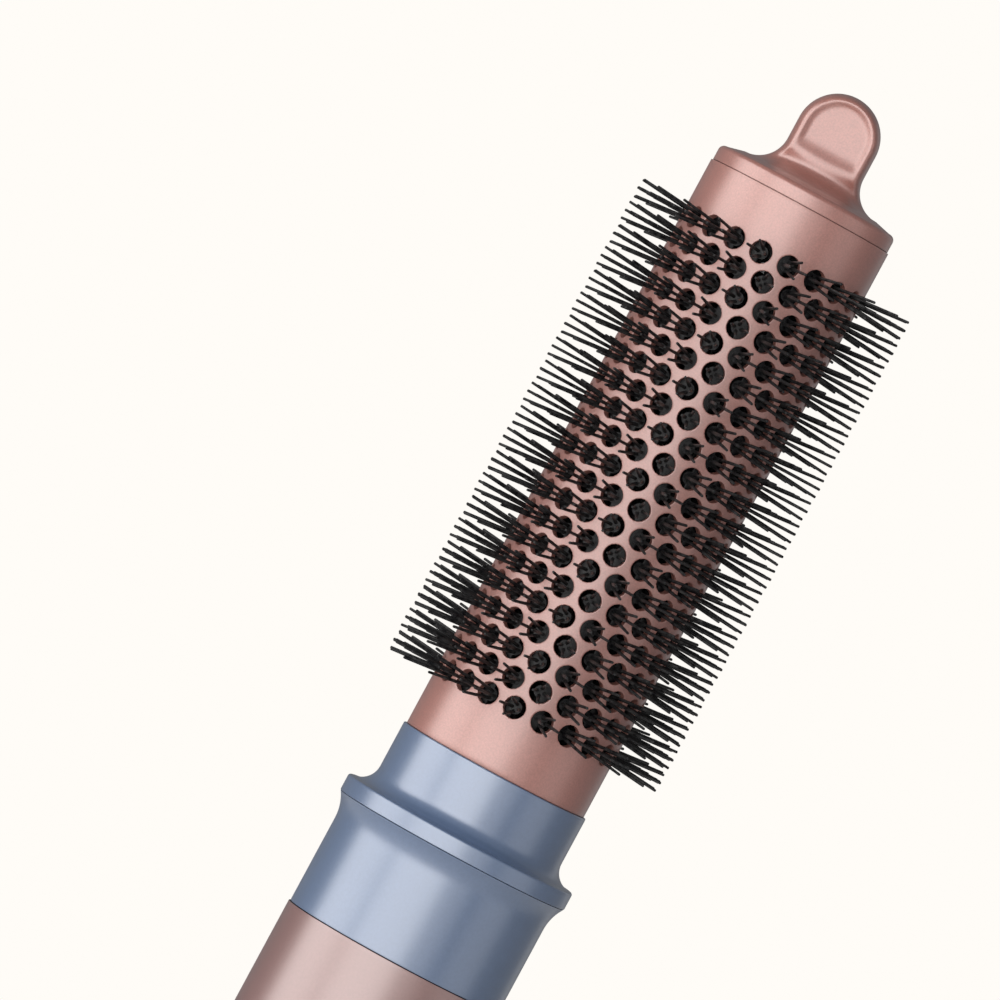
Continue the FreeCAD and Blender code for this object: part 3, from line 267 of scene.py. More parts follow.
def pull(
    bm: Mesh, edges: Sequence[Edge], move: Callable[[Vert], Vector]
) -> list[Edge]:
    """Extrudes a run of edges and moves the new points.

    Args:
        bm: the mesh.
        edges: the edges to extrude.
        move: gives a new point's place from the point as extruded.

    Returns:
        The new edges.
    """
    made = bmesh.ops.extrude_edge_only(bm, edges=list(edges))["geom"]
    for vert in (item for item in made if isinstance(item, Vert)):
        vert.co = move(vert)
    return [item for item in made if isinstance(item, Edge)]


def rim(bm: Mesh, test: Callable[[Vector], bool]) -> list[Edge]:
    """The open edges whose two ends both pass a test of their place."""
    return [
        edge
        for edge in bm.edges
        if edge.is_boundary and all(test(vert.co) for vert in edge.verts)
    ]


def wrap(bm: Mesh, radius: float) -> None:
    """Bends a flat sheet in XZ round the axis, its middle at the front."""
    for vert in bm.verts:
        turn = vert.co.x / radius
        reach = radius - vert.co.y
        vert.co.x, vert.co.y = reach * math.sin(turn), -reach * math.cos(turn)


def reach_of(point: Vector) -> float:
    """A point's distance from the axis."""
    return math.hypot(point.x, point.y)


def on_ring(point: Vector, radius: float, level: float) -> Vector:
    """A point moved to a ring about the axis without turning it."""
    share = radius / reach_of(point)
    return Vector((point.x * share, point.y * share, level))


def climb(bm: Mesh, edges: Sequence[Edge], rings: Sequence[Point]) -> list[Edge]:
    """Carries an open rim on from ring to ring.

    Args:
        bm: the mesh.
        edges: the rim.
        rings: the radius and level of each ring, in order.

    Returns:
        The edges of the last ring.
    """
    for ring in rings:
        edges = pull(bm, edges, lambda vert, ring=ring: on_ring(vert.co, *ring))
    return edges


def ease(share: float) -> float:
    """A share of a stretch, held between 0 and 1 and smoothed at both ends."""
    share = min(1.0, max(0.0, share))
    return share * share * (3 - 2 * share)


def round_off(
    radius: float, level: float, size: float, rise: float, steps: int
) -> list[Point]:
    """The rings that round the edge between a side and an end face.

    Args:
        radius: the side's radius.
        level: the end face's level.
        size: how far the rounding reaches across.
        rise: the same along the axis, negative where the end face is on top.
        steps: how many runs cross it.

    Returns:
        The rings, from the side to the end face.
    """
    return [
        (radius - size * (1 - math.cos(turn)), level + rise * (1 - math.sin(turn)))
        for turn in steps_between(0, math.pi / 2, steps)
    ]


def edges_of(verts: Sequence[Vert]) -> list[Edge]:
    """The edges that meet some points, each once."""
    return list(dict.fromkeys(edge for vert in verts for edge in vert.link_edges))


def sharp_edges(bm: Mesh, test: Callable[[Vert], bool]) -> list[Edge]:
    """The sharp edges whose two ends both pass a test."""
    return [
        edge
        for edge in bm.edges
        if all(test(vert) for vert in edge.verts)
        and len(edge.link_faces) == 2
        and edge.calc_face_angle(0) > CREASE
    ]


def flat_ring(bm: Mesh, points: Sequence[Point]) -> list[Edge]:
    """Adds a closed outline to a flat sheet.

    Args:
        bm: the sheet.
        points: the outline, as distance across and level.

    Returns:
        Its edges.
    """
    verts = bmesh.ops.create_circle(bm, segments=len(points), radius=1)["verts"]
    for vert, (across, level) in zip(verts, points):
        vert.co = (across, 0, level)
    return edges_of(verts)


def repeat(bm: Mesh, places: Sequence[Point]) -> None:
    """Replaces a flat pattern by copies of it.

    Args:
        bm: the flat pattern.
        places: how far each copy moves across and up.
    """
    first = bm.verts[:] + bm.edges[:] + bm.faces[:]
    for across, level in places:
        copy = bmesh.ops.duplicate(bm, geom=first)["geom"]
        moved = [item for item in copy if isinstance(item, Vert)]
        bmesh.ops.translate(bm, vec=(across, 0, level), verts=moved)
    bmesh.ops.delete(bm, geom=[item for item in first if isinstance(item, Vert)])


def thicken(bm: Mesh, wall: float) -> None:
    """Gives a sheet its wall, inwards.

    Args:
        bm: the sheet, bent round the axis.
        wall: the wall's thickness.
    """
    bmesh.ops.remove_doubles(bm, verts=bm.verts[:], dist=WELD)
    bmesh.ops.recalc_face_normals(bm, faces=bm.faces[:])
    face = max(bm.faces, key=lambda item: item.calc_area())
    middle = face.calc_center_median()
    if face.normal.x * middle.x + face.normal.y * middle.y < 0:
        bmesh.ops.reverse_faces(bm, faces=bm.faces[:])
    bmesh.ops.solidify(bm, geom=bm.faces[:], thickness=wall)
    bmesh.ops.recalc_face_normals(bm, faces=bm.faces[:])


def soften(bm: Mesh, edges: Sequence[Edge], size: float, segments: int = 2) -> None:
    """Bevels some edges.

    Args:
        bm: the mesh.
        edges: the edges to round.
        size: the bevel's offset.
        segments: how many faces cross it.
    """
    bmesh.ops.bevel(
        bm,
        geom=list(edges),
        offset=size,
        offset_type="OFFSET",
        segments=segments,
        profile=0.5,
        affect="EDGES",
        material=-1,
        clamp_overlap=True,
    )


def block(bm: Mesh, low: Sequence[float], high: Sequence[float], edge: float) -> None:
    """Adds a block with rounded edges.

    Args:
        bm: the mesh that takes it.
        low: its lowest corner.
        high: its highest corner.
        edge: the rounding of its edges.
    """
    size = Vector(high) - Vector(low)
    made = bmesh.ops.create_cube(bm, size=1)["verts"]
    bmesh.ops.scale(bm, vec=size, verts=made)
    bmesh.ops.translate(bm, vec=(Vector(high) + Vector(low)) / 2, verts=made)
    soften(bm, edges_of(made), edge, 3)


@dataclass(frozen=True)
class Opening:
    """A hole in a flat sheet and the stretch of sheet round it."""

    across: float
    level: float
    half_width: float
    half_height: float
    corner: float
    columns: Sequence[float]
    rows: Sequence[float]

    def border(self) -> list[Point]:
        """The stretch's outline, anticlockwise from its lower left corner."""
        left, right = self.columns[0], self.columns[-1]
        low, high = self.rows[0], self.rows[-1]
        return (
            [(across, low) for across in self.columns[:-1]]
            + [(right, level) for level in self.rows[:-1]]
            + [(across, high) for across in reversed(self.columns[1:])]
            + [(left, level) for level in reversed(self.rows[1:])]
        )

    def edge_point(self, vert: Vert) -> Vector:
        """The hole's point nearest to a point of the border.

        Args:
            vert: a point of the border.

        Returns:
            The matching point of the hole.
        """
        inner = self.half_width - self.corner, self.half_height - self.corner
        away = vert.co.x - self.across, vert.co.z - self.level
        held = [max(-room, min(room, part)) for part, room in zip(away, inner)]
        out = Vector((away[0] - held[0], away[1] - held[1])).normalized() * self.corner
        return Vector((self.across + held[0] + out.x, 0, self.level + held[1] + out.y))

    def cut(self, bm: Mesh) -> None:
        """Adds the stretch, with its hole, to a flat sheet."""
        pull(bm, flat_ring(bm, self.border()), self.edge_point)


def steps_between(start: float, end: float, count: int) -> list[float]:
    """Evenly spaced numbers, both ends among them."""
    return [start + (end - start) * step / count for step in range(count + 1)]


# ---------------------------------------------------------------- finishes


class Texture(Enum):
    """What a finish looks like close up, by the name of its node group."""

    SPECKLED = "speckle"
    MOULDED = "moulding"
    BRUSHED = "brushing"
    WOVEN = "weaving"
    ETCHED = "etching"

@dataclass(frozen=True)
class Finish:
    """How one material looks.

    Colours are linear. The grain is in millimetres.
    """

    colour: Colour
    texture: Texture = Texture.MOULDED
    roughness: float = 0.5
    roughness_spread: float = 0.08
    grain: float = 0.5
    depth: float = 0.02
    tone: float = 0.12
    metallic: float = 0.0
    specular: float = 0.5
    coat: float = 0.0
    coat_roughness: float = 0.3
    coat_ior: float = 1.5
    # edge wear and painted highlight: how far convex edges are lightened towards white
    wear_and_highlight: float = 0.12
    glow: float = 0.0

    def shade(self, change: float) -> tuple[float, ...]:
        """The colour made lighter or darker by a share of itself, with its alpha."""
        return (*(part * (1 + change) for part in self.colour), 1)


ROSE: Colour = (0.345, 0.142, 0.116)
BLUE: Colour = (0.098, 0.150, 0.262)
PINK: Colour = (0.225, 0.108, 0.100)
ROSE_COAT = Finish(
    ROSE, Texture.SPECKLED, 0.36, 0.06, 0.3, 0.006, 0.16, 0.15, 1.0, 0.9, 0.34, 1.7
)

FINISHES: dict[str, Finish] = {
    "handle_pink": Finish(
        PINK, Texture.SPECKLED, 0.36, 0.05, 0.5, 0.003, 0.07, 0.15, 1.0, 1.0, 0.34, 1.95
    ),
    "collar_blue": Finish(
        BLUE, Texture.SPECKLED, 0.33, 0.04, 0.5, 0.003, 0.06, 0.12, 1.0, 1.0, 0.30, 1.8
    ),
    "barrel_rose": ROSE_COAT,
    "cap_rose": ROSE_COAT,
    "bristle_nylon": Finish(
        (0.003, 0.003, 0.004), roughness=0.34, grain=0.4, specular=0.2
    ),
    "core_plastic": Finish((0.004, 0.004, 0.004), roughness=0.75, specular=0.25),
    "chassis_plastic": Finish((0.014, 0.014, 0.016), roughness=0.6),
    "spigot_plastic": Finish((0.012, 0.012, 0.014), roughness=0.55, grain=0.3),
    "motor_alloy": Finish(
        (0.55, 0.55, 0.57), Texture.BRUSHED, 0.36, 0.1, 0.4, 0.01, 0.2, 1.0
    ),
    "motor_steel": Finish(
        (0.42, 0.42, 0.44), Texture.BRUSHED, 0.32, 0.1, 0.3, 0.01, 0.2, 1.0
    ),
    "impeller_plastic": Finish((0.022, 0.022, 0.025), roughness=0.5),
    "circuit_board": Finish(
        (0.010, 0.075, 0.032), Texture.ETCHED, 0.35, 0.08, 1.6, 0.03, 0.5
    ),
    "heater_mica": Finish((0.46, 0.39, 0.25), roughness=0.55, grain=1.4, tone=0.35),
    "heater_wire": Finish(
        (0.38, 0.34, 0.30), Texture.BRUSHED, 0.35, 0.1, 0.2, 0.01, 0.3, 1.0
    ),
    "rubber_black": Finish((0.014, 0.014, 0.015), roughness=0.72, grain=0.35),
    "bezel_gloss": Finish(
        (0.035, 0.050, 0.085), roughness=0.22, depth=0.004, coat=0.6, coat_roughness=0.1
    ),
    "key_plastic": Finish(BLUE, roughness=0.40, grain=0.35, coat=0.4, wear_and_highlight=0.2),
    "lamp_lens": Finish((0.85, 0.83, 0.78), roughness=0.25, depth=0.004, glow=0.35),
    "cage_blue": Finish(
        BLUE, Texture.SPECKLED, 0.36, 0.05, 0.5, 0.003, 0.06, 0.12, 1.0, 0.8, 0.34, 1.7
    ),
    "filter_steel": Finish(
        (0.50, 0.50, 0.52), Texture.WOVEN, 0.35, 0.1, 0.28, 0.08, 0.6, 1.0
    ),
    "screw_steel": Finish(
        (0.45, 0.45, 0.46), Texture.BRUSHED, 0.30, 0.1, 0.3, 0.01, 0.2, 1.0
    ),
}


@dataclass(frozen=True)
class Wiring:
    """Adds nodes to one node tree, read at one place and at one scale."""

    tree: Tree
    place: Socket | None = None
    scale: Socket | float = 0.0
    brush_stretch: tuple[float, float, float] = (0.12, 0.12, 1.0)
    mesh_radius: float = 0.0165
    drift_scale: float = 45.0
    # size of the patches of edge wear and painted edge highlight
    wear_and_highlight_scale: float = 900.0

    def feed(self, node: Node, inputs: dict[str | int, object]) -> None:
        """Sets a node's inputs.

        Args:
            node: the node.
            inputs: for each input a socket to link or a value.
        """
        for name, value in inputs.items():
            if isinstance(value, Socket):
                self.tree.links.new(value, node.inputs[name])
            else:
                node.inputs[name].default_value = value

    def add(
        self, kind: str, inputs: dict[str | int, object], **settings: object
    ) -> Node:
        """Adds a node.

        Args:
            kind: its type's name, after ShaderNode.
            inputs: for each input a socket to link or a value.
            settings: the node's own settings.

        Returns:
            The node.
        """
        node = self.tree.nodes.new("ShaderNode" + kind)
        for name, value in settings.items():
            setattr(node, name, value)
        self.feed(node, inputs)
        return node

    def noise(
        self, detail: float, place: Socket | None = None, scale: float | None = None
    ) -> Socket:
        """Adds a noise texture.

        Args:
            detail: its detail.
            place: the place to read it at, if not the wiring's own.
            scale: its scale, if not the wiring's own.

        Returns:
            The noise's number.
        """
        inputs = {
            "Vector": place or self.place,
            "Scale": scale or self.scale,
            "Detail": detail,
        }
        return self.add("TexNoise", inputs).outputs["Fac"]

    def span(self, value: Socket, source: Point, target: Point = (0.0, 1.0)) -> Socket:
        """Stretches a number from one range to another.

        Args:
            value: the number.
            source: the range it comes in.
            target: the range it leaves in.

        Returns:
            The stretched number.
        """
        inputs = {"Value": value, "From Min": source[0], "From Max": source[1]}
        inputs |= {"To Min": target[0], "To Max": target[1]}
        return self.add("MapRange", inputs).outputs["Result"]

    def maths(self, operation: str, first: Socket, second: Socket | float) -> Socket:
        """The result of a sum on two numbers."""
        node = self.add("Math", {0: first, 1: second}, operation=operation)
        return node.outputs["Value"]

    def mix(self, share: Socket, under: object, over: object) -> Socket:
        """Two colours mixed, where a share of the second one shows."""
        inputs = {0: share, 6: under, 7: over}
        return self.add("Mix", inputs, data_type="RGBA").outputs[2]

    def effect(self, group: Tree) -> Socket:
        """Places a shared effect and gives its number."""
        inputs = {"Place": self.place, "Scale": self.scale}
        return self.add("Group", inputs, node_tree=group).outputs[0]

    def speckle(self) -> Socket:
        """Fine dots."""
        return self.span(self.noise(3.0), (0.32, 0.68))

    def moulding(self) -> Socket:
        """The fine pits of moulded plastic."""
        cells = self.add("TexVoronoi", {"Vector": self.place, "Scale": self.scale})
        mixed = self.maths("MULTIPLY", cells.outputs["Distance"], self.noise(4.0))
        return self.span(mixed, (0.05, 0.45))

    def brushing(self) -> Socket:
        """Fine lines round the axis."""
        inputs = {0: self.place, 1: self.brush_stretch}
        stretch = self.add("VectorMath", inputs, operation="MULTIPLY")
        return self.span(self.noise(5.0, stretch.outputs["Vector"]), (0.3, 0.7))

    def weaving(self) -> Socket:
        """Threads that cross, round the axis."""
        parts = self.add("SeparateXYZ", {"Vector": self.place}).outputs
        turn = self.maths("ARCTAN2", parts["Y"], parts["X"])
        waves = []
        for part in (self.maths("MULTIPLY", turn, self.mesh_radius), parts["Z"]):
            phase = self.maths("MULTIPLY", part, self.scale)
            full = self.maths("MULTIPLY", phase, math.tau)
            waves.append(self.maths("SINE", full, 0.0))
        return self.span(self.maths("MULTIPLY", *waves), (-1.0, 1.0))

    def etching(self) -> Socket:
        """The tracks of a circuit board."""
        inputs = {"Vector": self.place, "Scale": self.scale}
        tracks = self.add("TexVoronoi", inputs, distance="MANHATTAN")
        steps = self.maths("MULTIPLY", tracks.outputs["Distance"], 6.0)
        return self.span(self.maths("FRACT", steps, 0.0), (0.45, 0.55))

    def drift(self) -> Socket:
        """Broad and faint changes."""
        return self.span(self.noise(3.0, scale=self.drift_scale), (0.3, 0.7))

    def edge_wear_and_highlight(self) -> Socket:
        """Broken edge wear and a painted highlight along the edges that stand out, both
        lightening them.
        """
        edges = self.add("NewGeometry", {}).outputs["Pointiness"]
        patchy = self.span(self.noise(4.0, scale=self.wear_and_highlight_scale), (0.35, 0.65))
        return self.maths("MULTIPLY", self.span(edges, (0.52, 0.60)), patchy)


def node_of(tree: Tree, kind: str) -> Node:
    """The first node of one type in a tree."""
    return next(node for node in tree.nodes if node.type == kind)


@dataclass
class PaintShop:
    """Makes every material, and the node groups that they share."""

    groups: dict[str, Tree] = field(default_factory=dict)
    made: dict[str, bpy.types.Material] = field(default_factory=dict)
    drift_share: float = 0.25
    # how far edge wear and the painted edge highlight lift the colour towards white
    wear_and_highlight_lift: float = 0.25
    bump: float = 0.6

    def build_groups(self) -> None:
        """Builds the effects that the finishes share."""
        for name in [item.value for item in Texture] + ["drift", "edge_wear_and_highlight"]:
            tree = bpy.data.node_groups.new(name, "ShaderNodeTree")
            for label, way, kind in (
                ("Place", "INPUT", "NodeSocketVector"),
                ("Scale", "INPUT", "NodeSocketFloat"),
                ("Amount", "OUTPUT", "NodeSocketFloat"),
            ):
                tree.interface.new_socket(label, in_out=way, socket_type=kind)
            inside = tree.nodes.new("NodeGroupInput").outputs
            out = tree.nodes.new("NodeGroupOutput")
            wiring = Wiring(tree, inside["Place"], inside["Scale"])
            wiring.feed(out, {"Amount": getattr(wiring, name)()})
            self.groups[name] = tree

    def material(self, slot: str) -> bpy.types.Material:
        """The material of one slot, made when it is first asked for.

        Args:
            slot: the record's material slot.

        Returns:
            The material.
        """
        if slot in self.made:
            return self.made[slot]
        finish = FINISHES[slot]
        material = bpy.data.materials.new(slot + "_finish")
        material.use_nodes = True
        tree = material.node_tree
        place = tree.nodes.new("ShaderNodeTexCoord").outputs["Object"]
        wiring = Wiring(tree, place, 1 / (finish.grain * MM))
        grain, drift, wear_and_highlight = (
            wiring.effect(self.groups[name])
            for name in (finish.texture.value, "drift", "edge_wear_and_highlight")
        )
        whole = (0.0, 1.0)
        light = finish.shade(finish.tone)
        base = wiring.mix(grain, finish.shade(-finish.tone), light)
        drifted = wiring.mix(
            wiring.span(drift, whole, (0.0, self.drift_share)),
            base,
            finish.shade(-finish.tone / 2),
        )
        # Edge wear and a painted highlight: convex edges lightened towards white.
        worn_and_highlit = wiring.mix(
            wiring.span(wear_and_highlight, whole, (0.0, finish.wear_and_highlight)),
            drifted,
            tuple(part + (1 - part) * self.wear_and_highlight_lift for part in light),
        )
        spread = finish.roughness_spread
        rough = wiring.span(grain, whole, (finish.roughness - spread, finish.roughness))
        smudge = wiring.span(drift, whole, (0.0, spread))
        relief = {"Strength": self.bump, "Distance": finish.depth * MM, "Height": grain}
        looks = {
            "Base Color": worn_and_highlit,
            "Roughness": wiring.maths("ADD", rough, smudge),
            "Normal": wiring.add("Bump", relief).outputs["Normal"],
            "Metallic": finish.metallic,
            "Specular IOR Level": finish.specular,
            "Coat Weight": finish.coat,
            "Coat Roughness": finish.coat_roughness,
            "Coat IOR": finish.coat_ior,
        }
        if finish.glow:
            looks["Emission Color"] = finish.shade(0)
            looks["Emission Strength"] = finish.glow
        wiring.feed(node_of(tree, "BSDF_PRINCIPLED"), looks)
        self.made[slot] = material
        return material

    def dress_frame(self, nodes: dict[str, bpy.types.Object], record: dict) -> None:
        """Gives every CAD node that stays its finish.

        Args:
            nodes: the CAD nodes by name.
            record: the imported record.
        """
        slots = {item["node"]: item["material_slot"] for item in record["subparts"]}
        for name, item in nodes.items():
            item.data.materials.clear()
            item.data.materials.append(self.material(slots[name]))
            LOG.info("dressed %s in %s", name, slots[name])

    def finish(self, bm: Mesh, name: str, slot: str, body: str, node: str) -> None:
        """Turns a mesh into a finished piece that rides on its body.

        Args:
            bm: the mesh, in millimetres.
            name: the piece's name.
            slot: its material slot.
            body: the CAD body it rides on.
            node: the CAD node it stands for.
        """
        bmesh.ops.scale(bm, vec=(MM, MM, MM), verts=bm.verts[:])
        mesh = bpy.data.meshes.new(name)
        bm.to_mesh(mesh)
        bm.free()
        mesh.shade_smooth()
        mesh.set_sharp_from_angle(angle=SHARP_EDGE)
        mesh.materials.append(self.material(slot))
        piece = bpy.data.objects.new(name, mesh)
        bpy.context.scene.collection.objects.link(piece)
        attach(piece, body)
        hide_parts(node)
        LOG.info("built %s with %d faces", name, len(mesh.polygons))


@dataclass
class Maker:
    """Builds pieces that take their finishes from the paint shop."""

    shop: PaintShop


# ---------------------------------------------------------------- handle


@dataclass
class HandleSleeve(Maker):
    """The pink sleeve of the handle, with its window for the controls."""

    wall: float = 2.0
    window_span: float = 47.0
    window_corner: float = 2.5
    border: float = 3.0
    edge: float = 0.5
    window_edge: float = 0.3
    lip: float = 0.06
    hold: float = 0.05
    ring_depth: float = 0.4
    ring_width: float = 1.0
    ring_gap: float = 3.5
    turn_steps: int = 100

    def window_sheet(self, radius: float, low: float, high: float) -> Mesh:
        """The stretch of sleeve at the window, bent and closed round the back.

        Args:
            radius: the sleeve's radius.
            low: the window's lower edge.
            high: the window's upper edge.

        Returns:
            The open tube with its window.
        """
        bm = bmesh.new()
        half = math.radians(self.window_span / 2) * radius
        side = half + self.border
        opening = Opening(
            0,
            (low + high) / 2,
            half,
            (high - low) / 2,
            self.window_corner,
            steps_between(-side, side, 16),
            steps_between(low - self.border, high + self.border, 56),
        )
        opening.cut(bm)
        wrap(bm, radius)
        end = math.sin(side / radius) * radius
        right = rim(bm, lambda place: place.x > end - WELD)
        verts = dict.fromkeys(vert for edge in right for vert in edge.verts)
        bmesh.ops.spin(
            bm,
            geom=list(verts) + right,
            cent=(0, 0, 0),
            axis=(0, 0, 1),
            angle=math.tau - 2 * side / radius,
            steps=self.turn_steps,
            use_merge=False,
        )
        bmesh.ops.remove_doubles(bm, verts=bm.verts[:], dist=WELD)
        return bm

    def build(self) -> None:
        """Builds the sleeve."""
        sleeve, panel = Extent.of("handle_sleeve"), Extent.of("control_bezel")
        radius = sleeve.radius
        low, high = round(panel.bottom, 1) - SEAM, round(panel.top, 1) + SEAM
        bm = self.window_sheet(radius, low, high)
        ring_top = low - self.ring_gap
        ring_bottom = ring_top - self.ring_width
        below = [
            (radius, ring_top + self.hold),
            (radius, ring_top),
            (radius, ring_bottom),
            (radius, ring_bottom - self.hold),
            *round_off(radius, sleeve.bottom, self.edge, self.edge, 4),
        ]
        above = [
            (radius, sleeve.top - 0.5),
            (radius, sleeve.top - self.lip),
            (radius - self.lip / 3, sleeve.top - self.lip / 3),
            (radius - self.lip, sleeve.top),
        ]
        climb(bm, rim(bm, lambda place: place.z < low - self.border + WELD), below)
        climb(bm, rim(bm, lambda place: place.z > high + self.border - WELD), above)
        thicken(bm, self.wall)
        for vert in bm.verts:
            in_ring = ring_bottom - WELD < vert.co.z < ring_top + WELD
            if in_ring and reach_of(vert.co) > radius - 0.1:
                vert.co = on_ring(vert.co, radius - self.ring_depth, vert.co.z)
        window = math.sin(math.radians(self.window_span / 2)) * radius
        outer = sharp_edges(
            bm,
            lambda vert: reach_of(vert.co) > radius - SKIN
            and abs(vert.co.x) < window + WELD
            and vert.co.y < 0
            and low - WELD < vert.co.z < high + WELD,
        )
        soften(bm, outer, self.window_edge, 3)
        self.shop.finish(bm, "grip_sleeve", "handle_pink", "handle", "handle_sleeve")


@dataclass
class ControlPanel(Maker):
    """The recessed panel with its slider, lamps and three push buttons."""

    thickness: float = 0.8
    span: float = 45.0
    key_hole: float = 4.3
    lamp_hole: float = 1.05
    lamp_pitch: float = 3.0
    slot_half_width: float = 3.3
    slot_half_height: float = 7.3
    slot_corner: float = 0.8
    key_dish: float = 0.35
    key_edge: float = 0.45
    key_flange: float = 1.0
    key_stem: float = 1.3
    key_lip: float = 0.8
    runner: float = 0.8
    knob_inset: float = 1.2
    ridges: int = 5
    ridge_half: float = 0.25

    def bezel(self) -> None:
        """Builds the panel."""
        low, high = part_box("control_bezel")
        radius = -low.y / MM
        bottom, top = low.z / MM, high.z / MM
        side = math.radians(self.span / 2) * radius
        columns = [-side, -5.9, -4.5, -3, -1.5, 0, 1.5, 3, 4.5, 5.9, side]
        slider = Extent.of("power_slider")
        slot_level = slider.bottom + 1.2 + self.slot_half_height
        lamps = Extent.of("indicator_lenses")
        lamp_level = (lamps.bottom + lamps.top) / 2
        keys = [
            (Extent.of(name).bottom + Extent.of(name).top) / 2
            for name in ("heat_button", "speed_button", "cool_shot_button")
        ]
        half_pitch = (keys[1] - keys[0]) / 2
        lamp_rows = [lamp_level - 3, keys[0] - half_pitch]
        bm = bmesh.new()
        Opening(
            0,
            slot_level,
            self.slot_half_width,
            self.slot_half_height,
            self.slot_corner,
            columns,
            steps_between(bottom, lamp_rows[0], 20),
        ).cut(bm)
        for across, part in (
            (-self.lamp_pitch, columns[:5]),
            (0, columns[4:7]),
            (self.lamp_pitch, columns[6:]),
        ):
            hole = self.lamp_hole
            Opening(
                across, lamp_level, hole, hole, hole, part, steps_between(*lamp_rows, 4)
            ).cut(bm)
        for level in keys:
            hole = self.key_hole
            rows = steps_between(level - half_pitch, level + half_pitch, 10)
            Opening(0, level, hole, hole, hole, columns, rows).cut(bm)
        bmesh.ops.remove_doubles(bm, verts=bm.verts[:], dist=WELD)
        upper = keys[-1] + half_pitch
        edges = rim(bm, lambda place: place.z > upper - WELD)
        pull(bm, edges, lambda vert: Vector((vert.co.x, 0, top)))
        wrap(bm, radius)
        thicken(bm, self.thickness)
        self.shop.finish(bm, "control_panel", "bezel_gloss", "handle", "control_bezel")

    def button(self, node: str) -> None:
        """Builds one push button with a soft dished face.

        Args:
            node: the CAD button it replaces, which is also its body's name.
        """
        low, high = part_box(node)
        face, back = -low.y / MM, -high.y / MM
        level = (low.z + high.z) / 2 / MM
        lip, radius = high.x / MM, high.x / MM - self.key_flange
        lip_back = back + self.key_stem
        lip_face = lip_back + self.key_lip
        points = outline(
            [
                Corner(0, back),
                Corner(radius / 2, back),
                Corner(radius / 2, lip_back),
                Corner(lip, lip_back),
                Corner(lip, lip_face),
                Corner(radius, lip_face),
                Corner(radius, face, self.key_edge),
                Corner(radius - 0.9, face, 0.2),
                Corner(radius - 1.5, face - self.key_dish * 0.6),
                Corner(radius - 2.4, face - self.key_dish * 0.9),
                Corner(0, face - self.key_dish),
            ],
            closed=False,
        )
        bm = lathe(points, closed=False, steps=72)
        turn = Matrix.Rotation(math.radians(90), 3, "X")
        bmesh.ops.rotate(bm, cent=(0, 0, 0), matrix=turn, verts=bm.verts[:])
        bmesh.ops.translate(bm, vec=(0, 0, level), verts=bm.verts[:])
        self.shop.finish(bm, node + "_cap", "key_plastic", node, node)

    def slider(self) -> None:
        """Builds the power slider with its ridges."""
        low, high = (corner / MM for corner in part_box("power_slider"))
        runner_face = high.y - self.runner
        inset = self.knob_inset
        knob_low = Vector((low.x + inset, low.y + 0.4, low.z + 1.5))
        knob_high = Vector((high.x - inset, runner_face + 0.2, high.z - 1.5))
        bm = bmesh.new()
        block(bm, (low.x, runner_face, low.z), high, 0.15)
        block(bm, knob_low, knob_high, 0.45)
        pitch = (knob_high.z - knob_low.z - 1.6) / (self.ridges - 1)
        for number in range(self.ridges):
            level = knob_low.z + 0.8 + number * pitch
            block(
                bm,
                (knob_low.x + 0.6, low.y, level - self.ridge_half),
                (knob_high.x - 0.6, low.y + 0.8, level + self.ridge_half),
                0.12,
            )
        node = "power_slider"
        self.shop.finish(bm, "power_slider_knob", "key_plastic", node, node)

    def build(self) -> None:
        """Builds the panel and everything in it."""
        self.bezel()
        self.slider()
        for node in ("heat_button", "speed_button", "cool_shot_button"):
            self.button(node)


